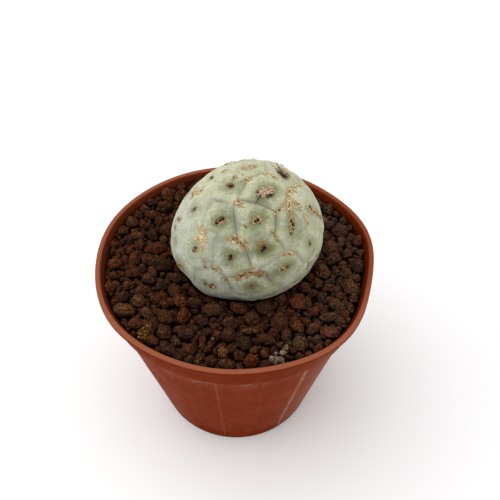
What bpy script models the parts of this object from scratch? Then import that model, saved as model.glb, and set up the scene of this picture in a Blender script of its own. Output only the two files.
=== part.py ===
"""A small potted cactus, built as four solids in metres, +Z up.

A soft plastic nursery pot stands on the origin. It holds growing mix, a top layer of volcanic
gravel, and one egg-shaped cactus segment whose root runs down into the mix. The front of the
pot faces -Y.
"""

import math
import random

import bmesh
import bpy
import numpy as np
from mathutils import Vector

# Driving dimensions, in metres and degrees.

# Pot: radii of the outer face from the base up, and the lip that the rim radius is measured over.
POT_HEIGHT = 0.065
LIP_RADIUS = 0.0425
LIP_WIDTH = 0.0015
LIP_THICKNESS = 0.0019
COLLAR_DEPTH = 0.0100
COLLAR_TOP_RADIUS = 0.0410
COLLAR_FOOT_RADIUS = 0.0398
BODY_TOP_RADIUS = 0.0389
BASE_RADIUS = 0.0273
WALL = 0.0007
FLOOR = 0.0016
FOOT_BEVEL = 0.0006

# The soft rim is squeezed a little out of round: share of the radius, waves per turn, crest angle.
RIM_SQUEEZE = (
    (0.0026, 2, -85.5), (0.0028, 3, -57.0), (0.0083, 4, 35.5), (0.0068, 5, 17.8), (0.0039, 6, 18.1),
    (0.0044, 7, 10.8),
)

# Four shallow windows are sunk in the body, each crossed by two upright ribs.
WINDOW_START = -117.0
WINDOW_SPAN = 60.0
WINDOW_PITCH = 90.0
WINDOW_DEPTH = 0.00035
WINDOW_FOOT = 0.0030
WINDOW_STEP = 0.9
RIB_HEIGHT = 0.00025
RIB_HALF_SPAN = 0.8

# Drain holes in the floor.
DRAIN_COUNT = 8
DRAIN_RADIUS = 0.0030
DRAIN_CIRCLE = 0.0185
DRAIN_SIDES = 14

# Clearance between pieces that touch.
GAP = 0.0003

# Fill: the top of the mix, and the level that the stones are half sunk in.
MIX_TOP = 0.0537
MIX_SIDES = 48
MIX_BEVEL = 0.0006
GRIT_LEVEL = 0.0615
HEAP_RISE = 0.00030
HEAP_LONG = 0.027
HEAP_SHORT = 0.016

# Cactus: a tilted egg.
EGG_CENTRE = (0.0045, -0.0011, 0.0760)
EGG_RADII = (0.0206, 0.0195, 0.0227)
EGG_TILT = 55.4
EGG_ROLL = -3.2
EGG_TAPER = 0.088
CELL_COUNT = 60
SPREAD_ROUNDS = 120
SPREAD_PUSH = 0.0006
GROOVE_BEND = 0.020
GROOVE_DEPTH = 0.00045
DOME_HEIGHT = 0.00030
RELIEF_FOOT = 0.0580
RELIEF_FADE = 0.0025
AREOLE_RIM = 0.00030
AREOLE_PIT = 0.00025
WOOL_HEIGHT = 0.00035
ROOT_RADIUS = 0.0030
ROOT_TAPER = 0.35
ROOT_NECK = 0.0060
ROOT_TIP = 0.0300

# Areoles on the face that is turned to the front and up: longitude and latitude about the
# egg's centre, length and width in millimetres, and the turn of the length from due east.
AREOLES = (
    (-151, 71, 2.9, 1.8, 20), (-161, 38, 2.4, 1.8, 70), (-125, 46, 3.4, 2.3, 45),
    (-84, 52, 3.8, 2.1, 25), (-56, 72, 5.2, 3.6, 0), (-47, 41, 6.0, 1.9, 66),
    (-139, 15, 2.6, 1.9, 60), (-107, 21, 2.1, 1.7, 80), (-79, 30, 2.7, 2.4, 0),
    (-35, 18, 2.8, 2.2, 75), (-63, 8, 3.6, 2.2, 25), (-89, -7, 2.2, 2.1, 0),
    (-124, -14, 3.0, 2.2, 0), (104, 80, 4.2, 2.6, 0), (21, 63, 4.8, 3.2, -30),
    (-11, 32, 6.6, 2.1, -56), (163, 55, 2.2, 1.8, 0),
)
PLAIN_AREOLE = (2.5, 2.0, 0.0)

# Tubercles that have grown larger than their neighbours, the one whose areole is overgrown by a
# scar, and a place on the front where the even spread has one areole too many.
TUBERCLE_SCALE = {3: 1.020, 4: 1.025, 5: 1.010}
SCARRED_TUBERCLE = (-18, 54)
SPARE_SITE = (-110, 1)
TUFT_AREOLE = 4
TUFT_SCALE = 3.4
SPINES = {4: (-85, 62), 14: (61, 56)}
SPINE_RADIUS = 0.00035
SPINE_LENGTH = 0.0034

# Stones that stand out: place from the pot's axis, length, width, all in millimetres, and turn.
KEY_STONES = (
    (-31.4, -20.7, 7.7, 4.7, -15), (-24.6, -21.3, 5.6, 3.1, -45), (-19.3, -22.6, 5.0, 4.9, 0),
    (-14.1, -21.8, 5.9, 4.5, 85), (-8.6, -23.8, 3.9, 2.7, 10), (-19.0, -28.1, 4.9, 4.4, 15),
    (-13.0, -28.0, 4.9, 4.4, -15), (-1.4, -28.8, 4.9, 4.7, 0), (-11.9, -33.6, 4.8, 4.3, 80),
    (-16.8, -33.7, 4.8, 3.7, -10), (-6.6, -32.5, 3.8, 2.0, 50), (-5.6, -36.6, 3.9, 3.4, 0),
    (-9.3, -37.3, 2.1, 2.0, 80), (-11.0, -17.4, 5.7, 3.1, 0), (-22.7, -15.8, 4.0, 3.7, 0),
    (-26.9, -12.5, 5.3, 3.8, 15), (-31.5, -10.7, 5.0, 3.2, 20), (-32.5, -16.0, 5.8, 4.0, 20),
    (-36.5, -12.7, 4.1, 4.4, 0), (-30.8, -5.9, 6.0, 3.5, 25), (-36.7, -2.8, 5.2, 3.9, 20),
    (-22.1, -2.9, 8.7, 4.9, 0), (-25.4, 4.2, 9.1, 4.7, 5), (-21.2, -10.5, 5.0, 3.2, 25),
    (-17.3, -8.0, 4.2, 3.8, 0), (-12.2, -13.4, 3.8, 3.4, -30), (1.4, -18.3, 6.9, 4.9, -30),
    (-1.0, -24.0, 6.1, 4.8, -20), (-7.2, -27.2, 3.9, 3.0, 0), (2.0, -34.6, 3.5, 3.2, 0),
    (18.3, -16.5, 5.5, 5.3, 85), (13.5, -15.5, 4.3, 4.4, 60), (29.5, -17.0, 5.8, 3.7, -30),
    (23.0, -19.7, 3.7, 3.4, 80), (26.8, -21.7, 6.5, 3.1, 5), (31.7, -20.9, 2.6, 2.7, 0),
    (12.7, -23.4, 5.6, 5.5, 80), (17.4, -24.0, 7.0, 3.9, -55), (27.0, -26.9, 6.1, 3.8, -10),
    (23.0, -29.3, 3.6, 2.9, 80), (18.2, -30.7, 5.2, 5.3, 0), (9.3, -29.6, 6.0, 3.8, -20),
    (3.3, -31.0, 4.1, 4.4, 0), (4.9, -27.0, 6.1, 1.8, 0), (5.0, -36.4, 5.0, 4.5, 0),
    (8.7, -33.8, 3.5, 2.6, 80), (12.2, -36.3, 4.5, 3.5, 0), (14.1, -32.8, 2.7, 2.6, 70),
    (20.6, -10.8, 3.8, 3.8, 0), (22.4, -6.8, 3.0, 3.2, 0), (30.7, -13.2, 3.2, 3.1, 80),
    (25.1, -14.1, 3.8, 2.8, 80), (33.3, -5.0, 3.9, 3.9, 80), (36.9, -2.5, 4.3, 4.6, 0),
    (27.8, -10.2, 4.4, 3.2, 0), (29.4, 5.8, 6.9, 5.4, 80), (34.5, 3.4, 4.1, 3.4, 0),
    (38.1, 7.8, 3.8, 4.1, 0), (39.1, 3.5, 3.7, 2.7, 0), (29.9, 16.3, 3.9, 3.9, 0),
    (34.6, 17.8, 4.3, 3.2, 80), (30.1, 23.1, 4.7, 4.0, 80), (-31.5, 9.8, 5.7, 3.3, 5),
    (-36.5, 11.1, 4.5, 3.4, 0), (-28.9, 25.2, 4.7, 3.2, 0), (-27.9, 19.8, 6.6, 2.8, 5),
    (-29.5, 14.5, 5.2, 2.4, -10), (-20.0, 34.2, 4.2, 3.0, 0), (-38.0, 5.2, 4.4, 3.4, 0),
    (-33.3, 3.2, 3.7, 2.7, 0),
)
LAYER_SIDES = 36
STONE_SEED = 7
STONE_SIZES = (0.0057, 0.0050, 0.0044, 0.0039, 0.0034)
STONE_TRIES = 900
STONE_SPACING = 0.86
STONE_RAGGED = 0.14
LARGE_STONE = 0.0046

# Rings of corners of a stone: share of its half width, share of its height, and corner count.
STONE_RINGS = ((0.60, -0.45, 3), (1.0, 0.0, 5), (0.58, 0.48, 3))


def new_object(name, vertices, faces, material):
    """Make a mesh object from points and faces, with its normals pointing out."""
    mesh = bpy.data.meshes.new(name)
    mesh.from_pydata([tuple(v) for v in vertices], [], [tuple(f) for f in faces])
    body = bmesh.new()
    body.from_mesh(mesh)
    bmesh.ops.recalc_face_normals(body, faces=body.faces)
    body.to_mesh(mesh)
    body.free()
    mesh.materials.append(material)
    obj = bpy.data.objects.new(name, mesh)
    bpy.context.scene.collection.objects.link(obj)
    return obj


def plain_material(name, colour, roughness):
    """A Principled material with one colour."""
    material = bpy.data.materials.new(name)
    material.use_nodes = True
    shader = material.node_tree.nodes["Principled BSDF"]
    shader.inputs["Base Color"].default_value = (*colour, 1.0)
    shader.inputs["Roughness"].default_value = roughness
    shader.inputs["Metallic"].default_value = 0.0
    return material


def direction(longitude, latitude):
    """Unit vector for a longitude and latitude in degrees."""
    lon, lat = math.radians(longitude), math.radians(latitude)
    return np.array((math.cos(lat) * math.cos(lon), math.cos(lat) * math.sin(lon), math.sin(lat)))


def unit(vector):
    """Vector scaled to length one."""
    return vector / np.linalg.norm(vector)


def part_way(a, b, share):
    """Value that lies the given share of the way from a to b."""
    return a + (b - a) * share


def squeeze(angle, height):
    """Radius factor of the out-of-round pot, full at the rim and gone at the base."""
    waves = sum(size * math.cos(count * (angle - math.radians(crest)))
                for size, count, crest in RIM_SQUEEZE)
    return 1.0 + waves * height / POT_HEIGHT


def collar_foot():
    """Height where the body steps out into the collar."""
    return POT_HEIGHT - COLLAR_DEPTH


def inner_radius(height):
    """Mean radius of the pot's inner face at a height."""
    foot = collar_foot()
    step = WALL
    if height >= foot:
        share = (height - foot) / COLLAR_DEPTH
        return part_way(COLLAR_FOOT_RADIUS, COLLAR_TOP_RADIUS, share) - WALL
    if height >= foot - step:
        share = (height - foot + step) / step
        return part_way(BODY_TOP_RADIUS, COLLAR_FOOT_RADIUS, share) - WALL
    return part_way(BASE_RADIUS, BODY_TOP_RADIUS, height / (foot - step)) - WALL


def pot_columns():
    """Angles of the pot's upright mesh lines, with how deep the window is sunk at each."""
    quarter = [(0.0, 0.0), (WINDOW_STEP, 1.0), (7.0, 1.0), (13.0, 1.0)]
    rib = RIB_HEIGHT / WINDOW_DEPTH
    third = WINDOW_SPAN / 3.0
    for centre, half in ((third, RIB_HALF_SPAN), (2.0 * third, 0.6 * RIB_HALF_SPAN)):
        quarter += [(centre - half, 1.0), (centre, 1.0 - rib), (centre + half, 1.0)]
        quarter += [(centre + 7.0, 1.0), (centre + 13.0, 1.0)]
    quarter += [(WINDOW_SPAN - WINDOW_STEP, 1.0), (WINDOW_SPAN, 0.0)]
    quarter += [(WINDOW_SPAN + 7.5 * i, 0.0) for i in (1, 2, 3)]
    return [(math.radians(WINDOW_START + WINDOW_PITCH * turn + angle), depth)
            for turn in range(4) for angle, depth in quarter]


def pot_profile():
    """Outer base edge, up the outside, over the lip and down the inside: radius, height, sunk."""
    foot = collar_foot()
    top = POT_HEIGHT
    lip_in = LIP_RADIUS - LIP_WIDTH
    body_slope = (BODY_TOP_RADIUS - BASE_RADIUS) / foot
    bevel = FOOT_BEVEL
    outside = [
        (BASE_RADIUS - bevel, 0.0, 0.0),
        (BASE_RADIUS, bevel, 0.0),
        (BASE_RADIUS + body_slope * WINDOW_FOOT, WINDOW_FOOT, 0.0),
        (BASE_RADIUS + body_slope * (WINDOW_FOOT + bevel), WINDOW_FOOT + bevel, 1.0),
        (BODY_TOP_RADIUS, foot - bevel, 1.0),
        (COLLAR_FOOT_RADIUS, foot, 0.0),
        (COLLAR_TOP_RADIUS, top - LIP_THICKNESS, 0.0),
    ]
    lip = [
        (LIP_RADIUS - 0.25 * LIP_WIDTH, top - LIP_THICKNESS, 0.0),
        (LIP_RADIUS, top - 0.70 * LIP_THICKNESS, 0.0),
        (LIP_RADIUS, top - 0.30 * LIP_THICKNESS, 0.0),
        (LIP_RADIUS - 0.30 * LIP_WIDTH, top, 0.0),
        (lip_in + 0.20 * LIP_WIDTH, top, 0.0),
        (lip_in, top - 0.25 * LIP_THICKNESS, 0.0),
    ]
    step = foot - WALL
    inside = [
        (inner_radius(top - LIP_THICKNESS), top - LIP_THICKNESS, 0.0),
        (inner_radius(foot), foot, 0.0),
        (inner_radius(step), step, 0.0),
        (inner_radius(2 * FLOOR), 2 * FLOOR, 0.0),
        (inner_radius(FLOOR) - bevel, FLOOR, 0.0),
    ]
    return outside + lip + inside


def make_pot(material):
    """Turned wall with sunk windows, then the drain holes cut through its floor."""
    columns = pot_columns()
    vertices = []
    for radius, height, sunk in pot_profile():
        for angle, depth in columns:
            r = radius * squeeze(angle, height) - WINDOW_DEPTH * depth * sunk
            vertices.append((r * math.cos(angle), r * math.sin(angle), height))
    count = len(columns)
    rings = len(vertices) // count
    faces = []
    for ring in range(rings - 1):
        for i in range(count):
            j = (i + 1) % count
            a = ring * count
            faces.append((a + i, a + j, a + count + j, a + count + i))
    vertices += [(0.0, 0.0, 0.0), (0.0, 0.0, FLOOR)]
    last = (rings - 1) * count
    for i in range(count):
        j = (i + 1) % count
        faces.append((i, j, len(vertices) - 2))
        faces.append((last + i, last + j, len(vertices) - 1))
    pot = new_object("pot", vertices, faces, material)
    pot.data.shade_smooth()
    pot.data.set_sharp_from_angle(angle=math.radians(32.0))
    cutter = make_drain_cutter()
    cut = pot.modifiers.new("drain_holes", "BOOLEAN")
    cut.operation = "DIFFERENCE"
    cut.solver = "EXACT"
    cut.object = cutter
    return pot


def make_drain_cutter():
    """One mesh of upright pegs on the drain circle."""
    sides = DRAIN_SIDES
    vertices = []
    faces = []
    for hole in range(DRAIN_COUNT):
        turn = 2.0 * math.pi * (hole + 0.5) / DRAIN_COUNT
        start = len(vertices)
        for height in (-FLOOR, 2.0 * FLOOR):
            for side in range(sides):
                angle = 2.0 * math.pi * side / sides
                vertices.append((DRAIN_CIRCLE * math.cos(turn) + DRAIN_RADIUS * math.cos(angle),
                                 DRAIN_CIRCLE * math.sin(turn) + DRAIN_RADIUS * math.sin(angle),
                                 height))
        for side in range(sides):
            nxt = (side + 1) % sides
            faces.append((start + side, start + nxt, start + sides + nxt, start + sides + side))
        faces.append(tuple(start + side for side in range(sides)))
        faces.append(tuple(start + sides + side for side in range(sides)))
    cutter = new_object("drain_cutter", vertices, faces, bpy.data.materials["terracotta_plastic"])
    cutter.hide_render = True
    cutter.display_type = "WIRE"
    return cutter


def egg_axes():
    """Rows are the egg's own three axes in world directions."""
    tilt, roll = math.radians(EGG_TILT), math.radians(EGG_ROLL)
    about_y = np.array(((math.cos(tilt), 0, math.sin(tilt)), (0, 1, 0),
                        (-math.sin(tilt), 0, math.cos(tilt))))
    about_x = np.array(((1, 0, 0), (0, math.cos(roll), -math.sin(roll)),
                        (0, math.sin(roll), math.cos(roll))))
    return (about_y @ about_x).T


def egg_radius(directions):
    """Distance from the egg's centre to its plain surface along unit directions."""
    own = np.asarray(directions) @ egg_axes().T
    plain = 1.0 / np.sqrt(((own / np.array(EGG_RADII)) ** 2).sum(axis=-1))
    return plain * (1.0 - EGG_TAPER * own[..., 2] ** 3)


def egg_foot():
    """Lowest point of the plain egg."""
    lowest = None
    for lon in range(-180, 180, 6):
        for lat in range(-90, -50, 2):
            u = direction(lon, lat)
            point = np.array(EGG_CENTRE) + u * egg_radius(u)
            if lowest is None or point[2] < lowest[2]:
                lowest = point
    return lowest


def egg_reach(angle, height, axis_x, axis_y, clearance):
    """Level distance from an upright axis to the egg plus a clearance, at a height."""
    low, high = 0.0, 2.0 * max(EGG_RADII)
    centre = np.array(EGG_CENTRE)
    for _ in range(30):
        reach = 0.5 * (low + high)
        point = np.array((axis_x + reach * math.cos(angle), axis_y + reach * math.sin(angle), height))
        offset = point - centre
        length = np.linalg.norm(offset)
        if length < egg_radius(offset / length) + clearance:
            low = reach
        else:
            high = reach
    return high


def make_mix(material):
    """Turned fill with a plain hole for the root."""
    sides = MIX_SIDES
    side_gap = 1.3 * GAP
    profile = [
        (inner_radius(FLOOR) - FOOT_BEVEL - MIX_BEVEL, FLOOR + GAP),
        (inner_radius(2 * FLOOR) - side_gap, 2 * FLOOR + GAP),
        (inner_radius(MIX_TOP) - side_gap, MIX_TOP),
    ]
    root = egg_foot()
    hole = [(ROOT_RADIUS + 2 * GAP, MIX_TOP), (ROOT_TAPER * ROOT_RADIUS + GAP, ROOT_TIP - GAP)]
    vertices = []
    for radius, height in profile:
        for i in range(sides):
            angle = 2.0 * math.pi * i / sides
            r = radius * squeeze(angle, height)
            vertices.append((r * math.cos(angle), r * math.sin(angle), height))
    for radius, height in hole:
        for i in range(sides):
            angle = 2.0 * math.pi * i / sides
            x, y = root[0] + radius * math.cos(angle), root[1] + radius * math.sin(angle)
            vertices.append((x, y, height))
    rings = len(profile) + len(hole)
    faces = []
    for ring in range(rings - 1):
        for i in range(sides):
            j = (i + 1) % sides
            a = ring * sides
            faces.append((a + i, a + j, a + sides + j, a + sides + i))
    faces.append(tuple(range(sides)))
    last = (rings - 1) * sides
    faces.append(tuple(last + i for i in range(sides)))
    return new_object("potting_mix", vertices, faces, material)


def heap(x, y):
    """Rise and fall of the stones over the layer."""
    turn = 2.0 * math.pi
    broad = math.sin(turn * x / HEAP_LONG + 1.0) * math.cos(turn * y / HEAP_LONG)
    tight = 0.6 * math.sin(turn * (y + 0.3 * x) / HEAP_SHORT)
    return HEAP_RISE * (1.0 + broad + tight)


def make_grit_layer(material):
    """Ring-shaped layer between the wall and the cactus, with its top at the stones' middle."""
    sides = LAYER_SIDES
    centre_x, centre_y, lowest = egg_foot()
    bottom = MIX_TOP + GAP
    clearance = 1.6 * GAP + DOME_HEIGHT
    wall_gap = 1.2 * GAP
    vertices = []
    for i in range(sides):
        angle = 2.0 * math.pi * i / sides
        r = (inner_radius(bottom) - wall_gap) * squeeze(angle, bottom)
        vertices.append((r * math.cos(angle), r * math.sin(angle), bottom))
    for share in (0.0, 1.0):
        for i in range(sides):
            angle = 2.0 * math.pi * i / sides
            r = (inner_radius(GRIT_LEVEL) - wall_gap) * squeeze(angle, GRIT_LEVEL)
            x, y = r * math.cos(angle), r * math.sin(angle)
            reach = egg_reach(angle, GRIT_LEVEL, centre_x, centre_y, clearance)
            in_x = centre_x + reach * math.cos(angle)
            in_y = centre_y + reach * math.sin(angle)
            px, py = part_way(x, in_x, share), part_way(y, in_y, share)
            vertices.append((px, py, GRIT_LEVEL))
    for share, narrow in ((0.72, 1.0), (0.47, 1.0), (0.25, 1.0), (0.10, 1.0), (0.06, 0.93)):
        height = part_way(lowest, GRIT_LEVEL, share)
        level = height if narrow == 1.0 else bottom
        for i in range(sides):
            angle = 2.0 * math.pi * i / sides
            reach = narrow * egg_reach(angle, height, centre_x, centre_y, clearance)
            vertices.append((centre_x + reach * math.cos(angle), centre_y + reach * math.sin(angle), level))
    rings = len(vertices) // sides
    faces = []
    for ring in range(rings):
        for i in range(sides):
            j = (i + 1) % sides
            a = ring * sides
            b = ((ring + 1) % rings) * sides
            faces.append((a + i, a + j, b + j, b + i))
    return new_object("lava_grit", vertices, faces, material)


def stone_places():
    """Centre, length, width and turn of every stone: the chosen ones first, then a seeded fill."""
    draw = random.Random(STONE_SEED)
    stones = [(x / 1000.0, y / 1000.0, length / 1000.0, width / 1000.0, math.radians(turn))
              for x, y, length, width, turn in KEY_STONES]
    for size in STONE_SIZES:
        for _ in range(STONE_TRIES):
            angle = draw.uniform(0.0, 2.0 * math.pi)
            reach = LIP_RADIUS * math.sqrt(draw.random())
            x, y = reach * math.cos(angle), reach * math.sin(angle)
            length = size * draw.uniform(0.95, 1.35)
            width = size * draw.uniform(0.72, 0.98)
            turn = draw.uniform(0.0, math.pi)
            half = 0.25 * (length + width)
            wall = inner_radius(GRIT_LEVEL) * squeeze(angle, GRIT_LEVEL)
            if reach + 0.80 * half > wall:
                continue
            offset = np.array((x, y, GRIT_LEVEL + 0.3 * half)) - np.array(EGG_CENTRE)
            distance = np.linalg.norm(offset)
            if distance < egg_radius(offset / distance) + 0.45 * half:
                continue
            near = [math.hypot(x - s[0], y - s[1]) < STONE_SPACING * (half + 0.25 * (s[2] + s[3]))
                    for s in stones]
            if not any(near):
                stones.append((x, y, length, width, turn))
    return stones


def seat_point(point):
    """Keep a stone's corner clear of the wall, of the cactus and of the layer's underside."""
    x, y, z = point
    z = max(z, MIX_TOP + 4.0 * GAP)
    centre = np.array(EGG_CENTRE)
    offset = np.array((x, y, z)) - centre
    distance = np.linalg.norm(offset)
    least = egg_radius(offset / distance) + DOME_HEIGHT + 2.2 * GAP
    if distance < least:
        x, y, z = centre + offset * (least / distance)
    angle = math.atan2(y, x)
    reach = math.hypot(x, y)
    most = (inner_radius(min(z, POT_HEIGHT)) - 1.4 * GAP) * squeeze(angle, z)
    if reach > most:
        x, y = x * most / reach, y * most / reach
    return (x, y, z)


def make_stone(index, place, collection, material):
    """A rough stone: corners below, a belt and corners on top, all moved a little, in one hull."""
    x, y, length, width, turn = place
    draw = random.Random(1000 + index)
    extra = 1 if length > LARGE_STONE else 0
    tall = 0.90 * width * draw.uniform(0.85, 1.15)
    rise = GRIT_LEVEL + heap(x, y) + 0.10 * tall
    lean_x, lean_y = draw.uniform(-0.35, 0.35), draw.uniform(-0.35, 0.35)
    vertices = []
    for reach, level, corners in STONE_RINGS:
        sides = corners + extra if level >= 0.0 else corners
        phase = draw.uniform(0.0, 2.0 * math.pi)
        for side in range(sides):
            angle = phase + 2.0 * math.pi * side / sides
            ragged = reach * draw.uniform(1.0 - STONE_RAGGED, 1.0 + STONE_RAGGED)
            u = 0.5 * length * ragged * math.cos(angle)
            v = 0.5 * width * ragged * math.sin(angle)
            w = tall * (level + draw.uniform(-0.08, 0.08)) + 0.5 * (lean_x * u + lean_y * v)
            vertices.append(seat_point((x + math.cos(turn) * u - math.sin(turn) * v,
                                        y + math.sin(turn) * u + math.cos(turn) * v, rise + w)))
    hull = bmesh.new()
    for vertex in vertices:
        hull.verts.new(vertex)
    shell = bmesh.ops.convex_hull(hull, input=hull.verts)
    bmesh.ops.delete(hull, geom=shell["geom_interior"], context="VERTS")
    name = "stone_%03d" % index
    mesh = bpy.data.meshes.new(name)
    hull.to_mesh(mesh)
    hull.free()
    mesh.materials.append(material)
    stone = bpy.data.objects.new(name, mesh)
    collection.objects.link(stone)


def make_grit(material):
    """The layer and all its stones, joined in one solid."""
    layer = make_grit_layer(material)
    collection = bpy.data.collections.new("stones")
    bpy.context.scene.collection.children.link(collection)
    for index, place in enumerate(stone_places()):
        make_stone(index, place, collection, material)
    join = layer.modifiers.new("stones", "BOOLEAN")
    join.operation = "UNION"
    join.operand_type = "COLLECTION"
    join.collection = collection
    join.solver = "MANIFOLD"
    graph = bpy.context.evaluated_depsgraph_get()
    joined = bpy.data.meshes.new_from_object(layer.evaluated_get(graph))
    layer.modifiers.clear()
    layer.data = joined
    for stone in list(collection.objects):
        bpy.data.objects.remove(stone)
    bpy.data.collections.remove(collection)
    return layer


def cactus_sites():
    """Directions of the areoles: the measured ones, the root, and the rest spread evenly."""
    centre = np.array(EGG_CENTRE)
    down = egg_foot() - centre
    fixed = [direction(lon, lat) for lon, lat, *_ in AREOLES] + [unit(down)]
    golden = math.pi * (3.0 - math.sqrt(5.0))
    loose = []
    for k in range(CELL_COUNT):
        z = 1.0 - 2.0 * (k + 0.5) / CELL_COUNT
        r = math.sqrt(1.0 - z * z)
        loose.append((r * math.cos(k * golden), r * math.sin(k * golden), z))
    loose = np.array(loose)
    for site in fixed:
        loose = np.delete(loose, np.argmax(loose @ site), axis=0)
    fixed = np.array(fixed)
    for _ in range(SPREAD_ROUNDS):
        everything = np.vstack((fixed, loose))
        apart = loose[:, None, :] - everything[None, :, :]
        distance = np.linalg.norm(apart, axis=2)
        distance[distance == 0.0] = math.inf
        loose = loose + SPREAD_PUSH * (apart / distance[..., None] ** 4).sum(axis=1)
        loose /= np.linalg.norm(loose, axis=1)[:, None]
    loose = np.delete(loose, np.argmax(loose @ direction(*SPARE_SITE)), axis=0)
    return np.vstack((fixed, loose))


def voronoi_cells(sites):
    """Corner directions, and for each site its corner indices in order round it."""
    hull = bmesh.new()
    points = [hull.verts.new(site * TUBERCLE_SCALE.get(index, 1.0)) for index, site in enumerate(sites)]
    bmesh.ops.convex_hull(hull, input=points)
    hull.faces.ensure_lookup_table()
    hull.faces.index_update()
    hull.normal_update()
    corners = []
    for face in hull.faces:
        normal = Vector(face.normal)
        if normal.dot(face.calc_center_median()) < 0.0:
            normal.negate()
        corners.append(np.array(normal))
    cells = []
    for point, site in zip(points, sites):
        east, north = tangent_frame(site)
        around = []
        for face in point.link_faces:
            corner = corners[face.index]
            around.append((math.atan2(corner @ north, corner @ east), face.index))
        cells.append([index for _, index in sorted(around)])
    hull.free()
    return corners, cells


def tangent_frame(site):
    """Level east and upward north at a direction on the egg."""
    east = unit(np.cross((0.0, 0.0, 1.0), site))
    return east, np.cross(site, east)


def bend(u):
    """Shift a direction a little, so that the grooves are not straight."""
    shift = GROOVE_BEND * np.sin((9.0 * u[1] + 2.0, 8.0 * u[2] + 1.0, 10.0 * u[0]))
    return unit(u + shift)


def groove_line(corners, a, b, steps):
    """Directions along the groove from one corner to just before the next."""
    low, high = (a, b) if a < b else (b, a)
    line = [bend(part_way(corners[low], corners[high], k / steps)) for k in range(steps + 1)]
    if a > b:
        line.reverse()
    return line[:-1]


def lift(u, height):
    """Point on the egg along a direction, raised by a height that fades out below the gravel."""
    point = np.array(EGG_CENTRE) + u * egg_radius(u)
    fade = min(1.0, max(0.0, (point[2] - RELIEF_FOOT) / RELIEF_FADE))
    return point + u * height * fade


def areole_offset(site, edge, index):
    """Offset from a cell's centre to the rim of its oval areole, on the side of an edge point."""
    east, north = tangent_frame(site)
    length, width, turn = AREOLES[index][2:] if index < len(AREOLES) else PLAIN_AREOLE
    turn = math.radians(turn)
    own = math.atan2(edge @ north, edge @ east) - turn
    scale = 0.0005 / float(egg_radius(site))
    along, across = scale * length * math.cos(own), scale * width * math.sin(own)
    return ((along * math.cos(turn) - across * math.sin(turn)) * east
            + (along * math.sin(turn) + across * math.cos(turn)) * north)


def make_cactus(material):
    """One body: domed cells between grooves, sunk areoles with wool cushions, and a tap root."""
    sites = cactus_sites()
    corners, cells = voronoi_cells(sites)
    root = len(AREOLES)
    scarred = np.argmax(sites @ direction(*SCARRED_TUBERCLE))
    vertices = []
    shared = {}
    faces = []

    def add(point):
        vertices.append(tuple(point))
        return len(vertices) - 1

    def add_edge_point(u):
        key = tuple(round(value, 6) for value in u)
        if key not in shared:
            shared[key] = add(lift(u, -GROOVE_DEPTH))
        return shared[key]

    def band(outer, inner):
        for i in range(len(outer)):
            j = (i + 1) % len(outer)
            faces.append((outer[i], outer[j], inner[j], inner[i]))

    def fan(ring, tip):
        for i in range(len(ring)):
            faces.append((ring[i], ring[(i + 1) % len(ring)], tip))

    for index, (site, cell) in enumerate(zip(sites, cells)):
        edge = []
        for a, b in zip(cell, cell[1:] + cell[:1]):
            edge += groove_line(corners, a, b, 2)
        ring = [add_edge_point(u) for u in edge]
        centre = np.array(EGG_CENTRE) + site * egg_radius(site)
        if index == root:
            foot = centre
            for share, height in ((1.0, -GAP), (0.75, -ROOT_NECK), (ROOT_TAPER, ROOT_TIP - foot[2])):
                inner = []
                for u in edge:
                    angle = math.atan2(u[1] - site[1], u[0] - site[0])
                    r = share * ROOT_RADIUS
                    inner.append(add((foot[0] + r * math.cos(angle), foot[1] + r * math.sin(angle),
                                      foot[2] + height)))
                band(ring, inner)
                ring = inner
            fan(ring, add((foot[0], foot[1], ROOT_TIP)))
            continue
        if centre[2] < RELIEF_FOOT:
            fan(ring, add(centre))
            continue
        tuft = TUFT_SCALE if index == TUFT_AREOLE else 1.0
        rims = [areole_offset(site, u, index) for u in edge]
        pit = AREOLE_RIM * tuft if index == TUFT_AREOLE else -AREOLE_PIT
        rings = [(0.0, 0.88, 0.0), (0.69, 0.40, DOME_HEIGHT)]
        if index != scarred:
            rings += [(1.25, 0.0, AREOLE_RIM), (0.85, 0.0, pit)]
        for of_rim, of_edge, height in rings:
            inner = []
            for u, rim in zip(edge, rims):
                inner.append(add(lift(unit(site + of_rim * rim + of_edge * (u - site)), height)))
            band(ring, inner)
            ring = inner
        cushion = DOME_HEIGHT if index == scarred else WOOL_HEIGHT * tuft
        if index in SPINES:
            lean = direction(*SPINES[index])
            lean = unit(lean - site * float(lean @ site))
            reach = SPINE_RADIUS / float(egg_radius(site))
            inner = [add(lift(unit(site + reach * unit(u - site)), cushion)) for u in edge]
            band(ring, inner)
            fan(inner, add(lift(site, cushion) + SPINE_LENGTH * unit(1.5 * lean + site)))
        else:
            fan(ring, add(lift(site, cushion)))
    cactus = new_object("cactus", vertices, faces, material)
    cactus.data.shade_smooth()
    cactus.data.set_sharp_from_angle(angle=math.radians(55.0))
    return cactus


for existing in list(bpy.data.objects):
    bpy.data.objects.remove(existing)

make_pot(plain_material("terracotta_plastic", (0.36, 0.075, 0.028), 0.45))
make_mix(plain_material("dark_mix", (0.035, 0.022, 0.015), 0.95))
make_grit(plain_material("volcanic_gravel", (0.075, 0.028, 0.018), 0.92))
make_cactus(plain_material("waxy_green_skin", (0.36, 0.44, 0.31), 0.60))
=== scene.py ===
"""Looks of a small potted cactus: an egg-shaped grey-green segment in volcanic gravel in a
soft terracotta-coloured nursery pot. Metres, +Z up, the front faces -Y."""

import itertools
import math
import random

import bmesh
import bpy
import numpy as np
from mathutils import Matrix, Vector
from mathutils.bvhtree import BVHTree


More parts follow.
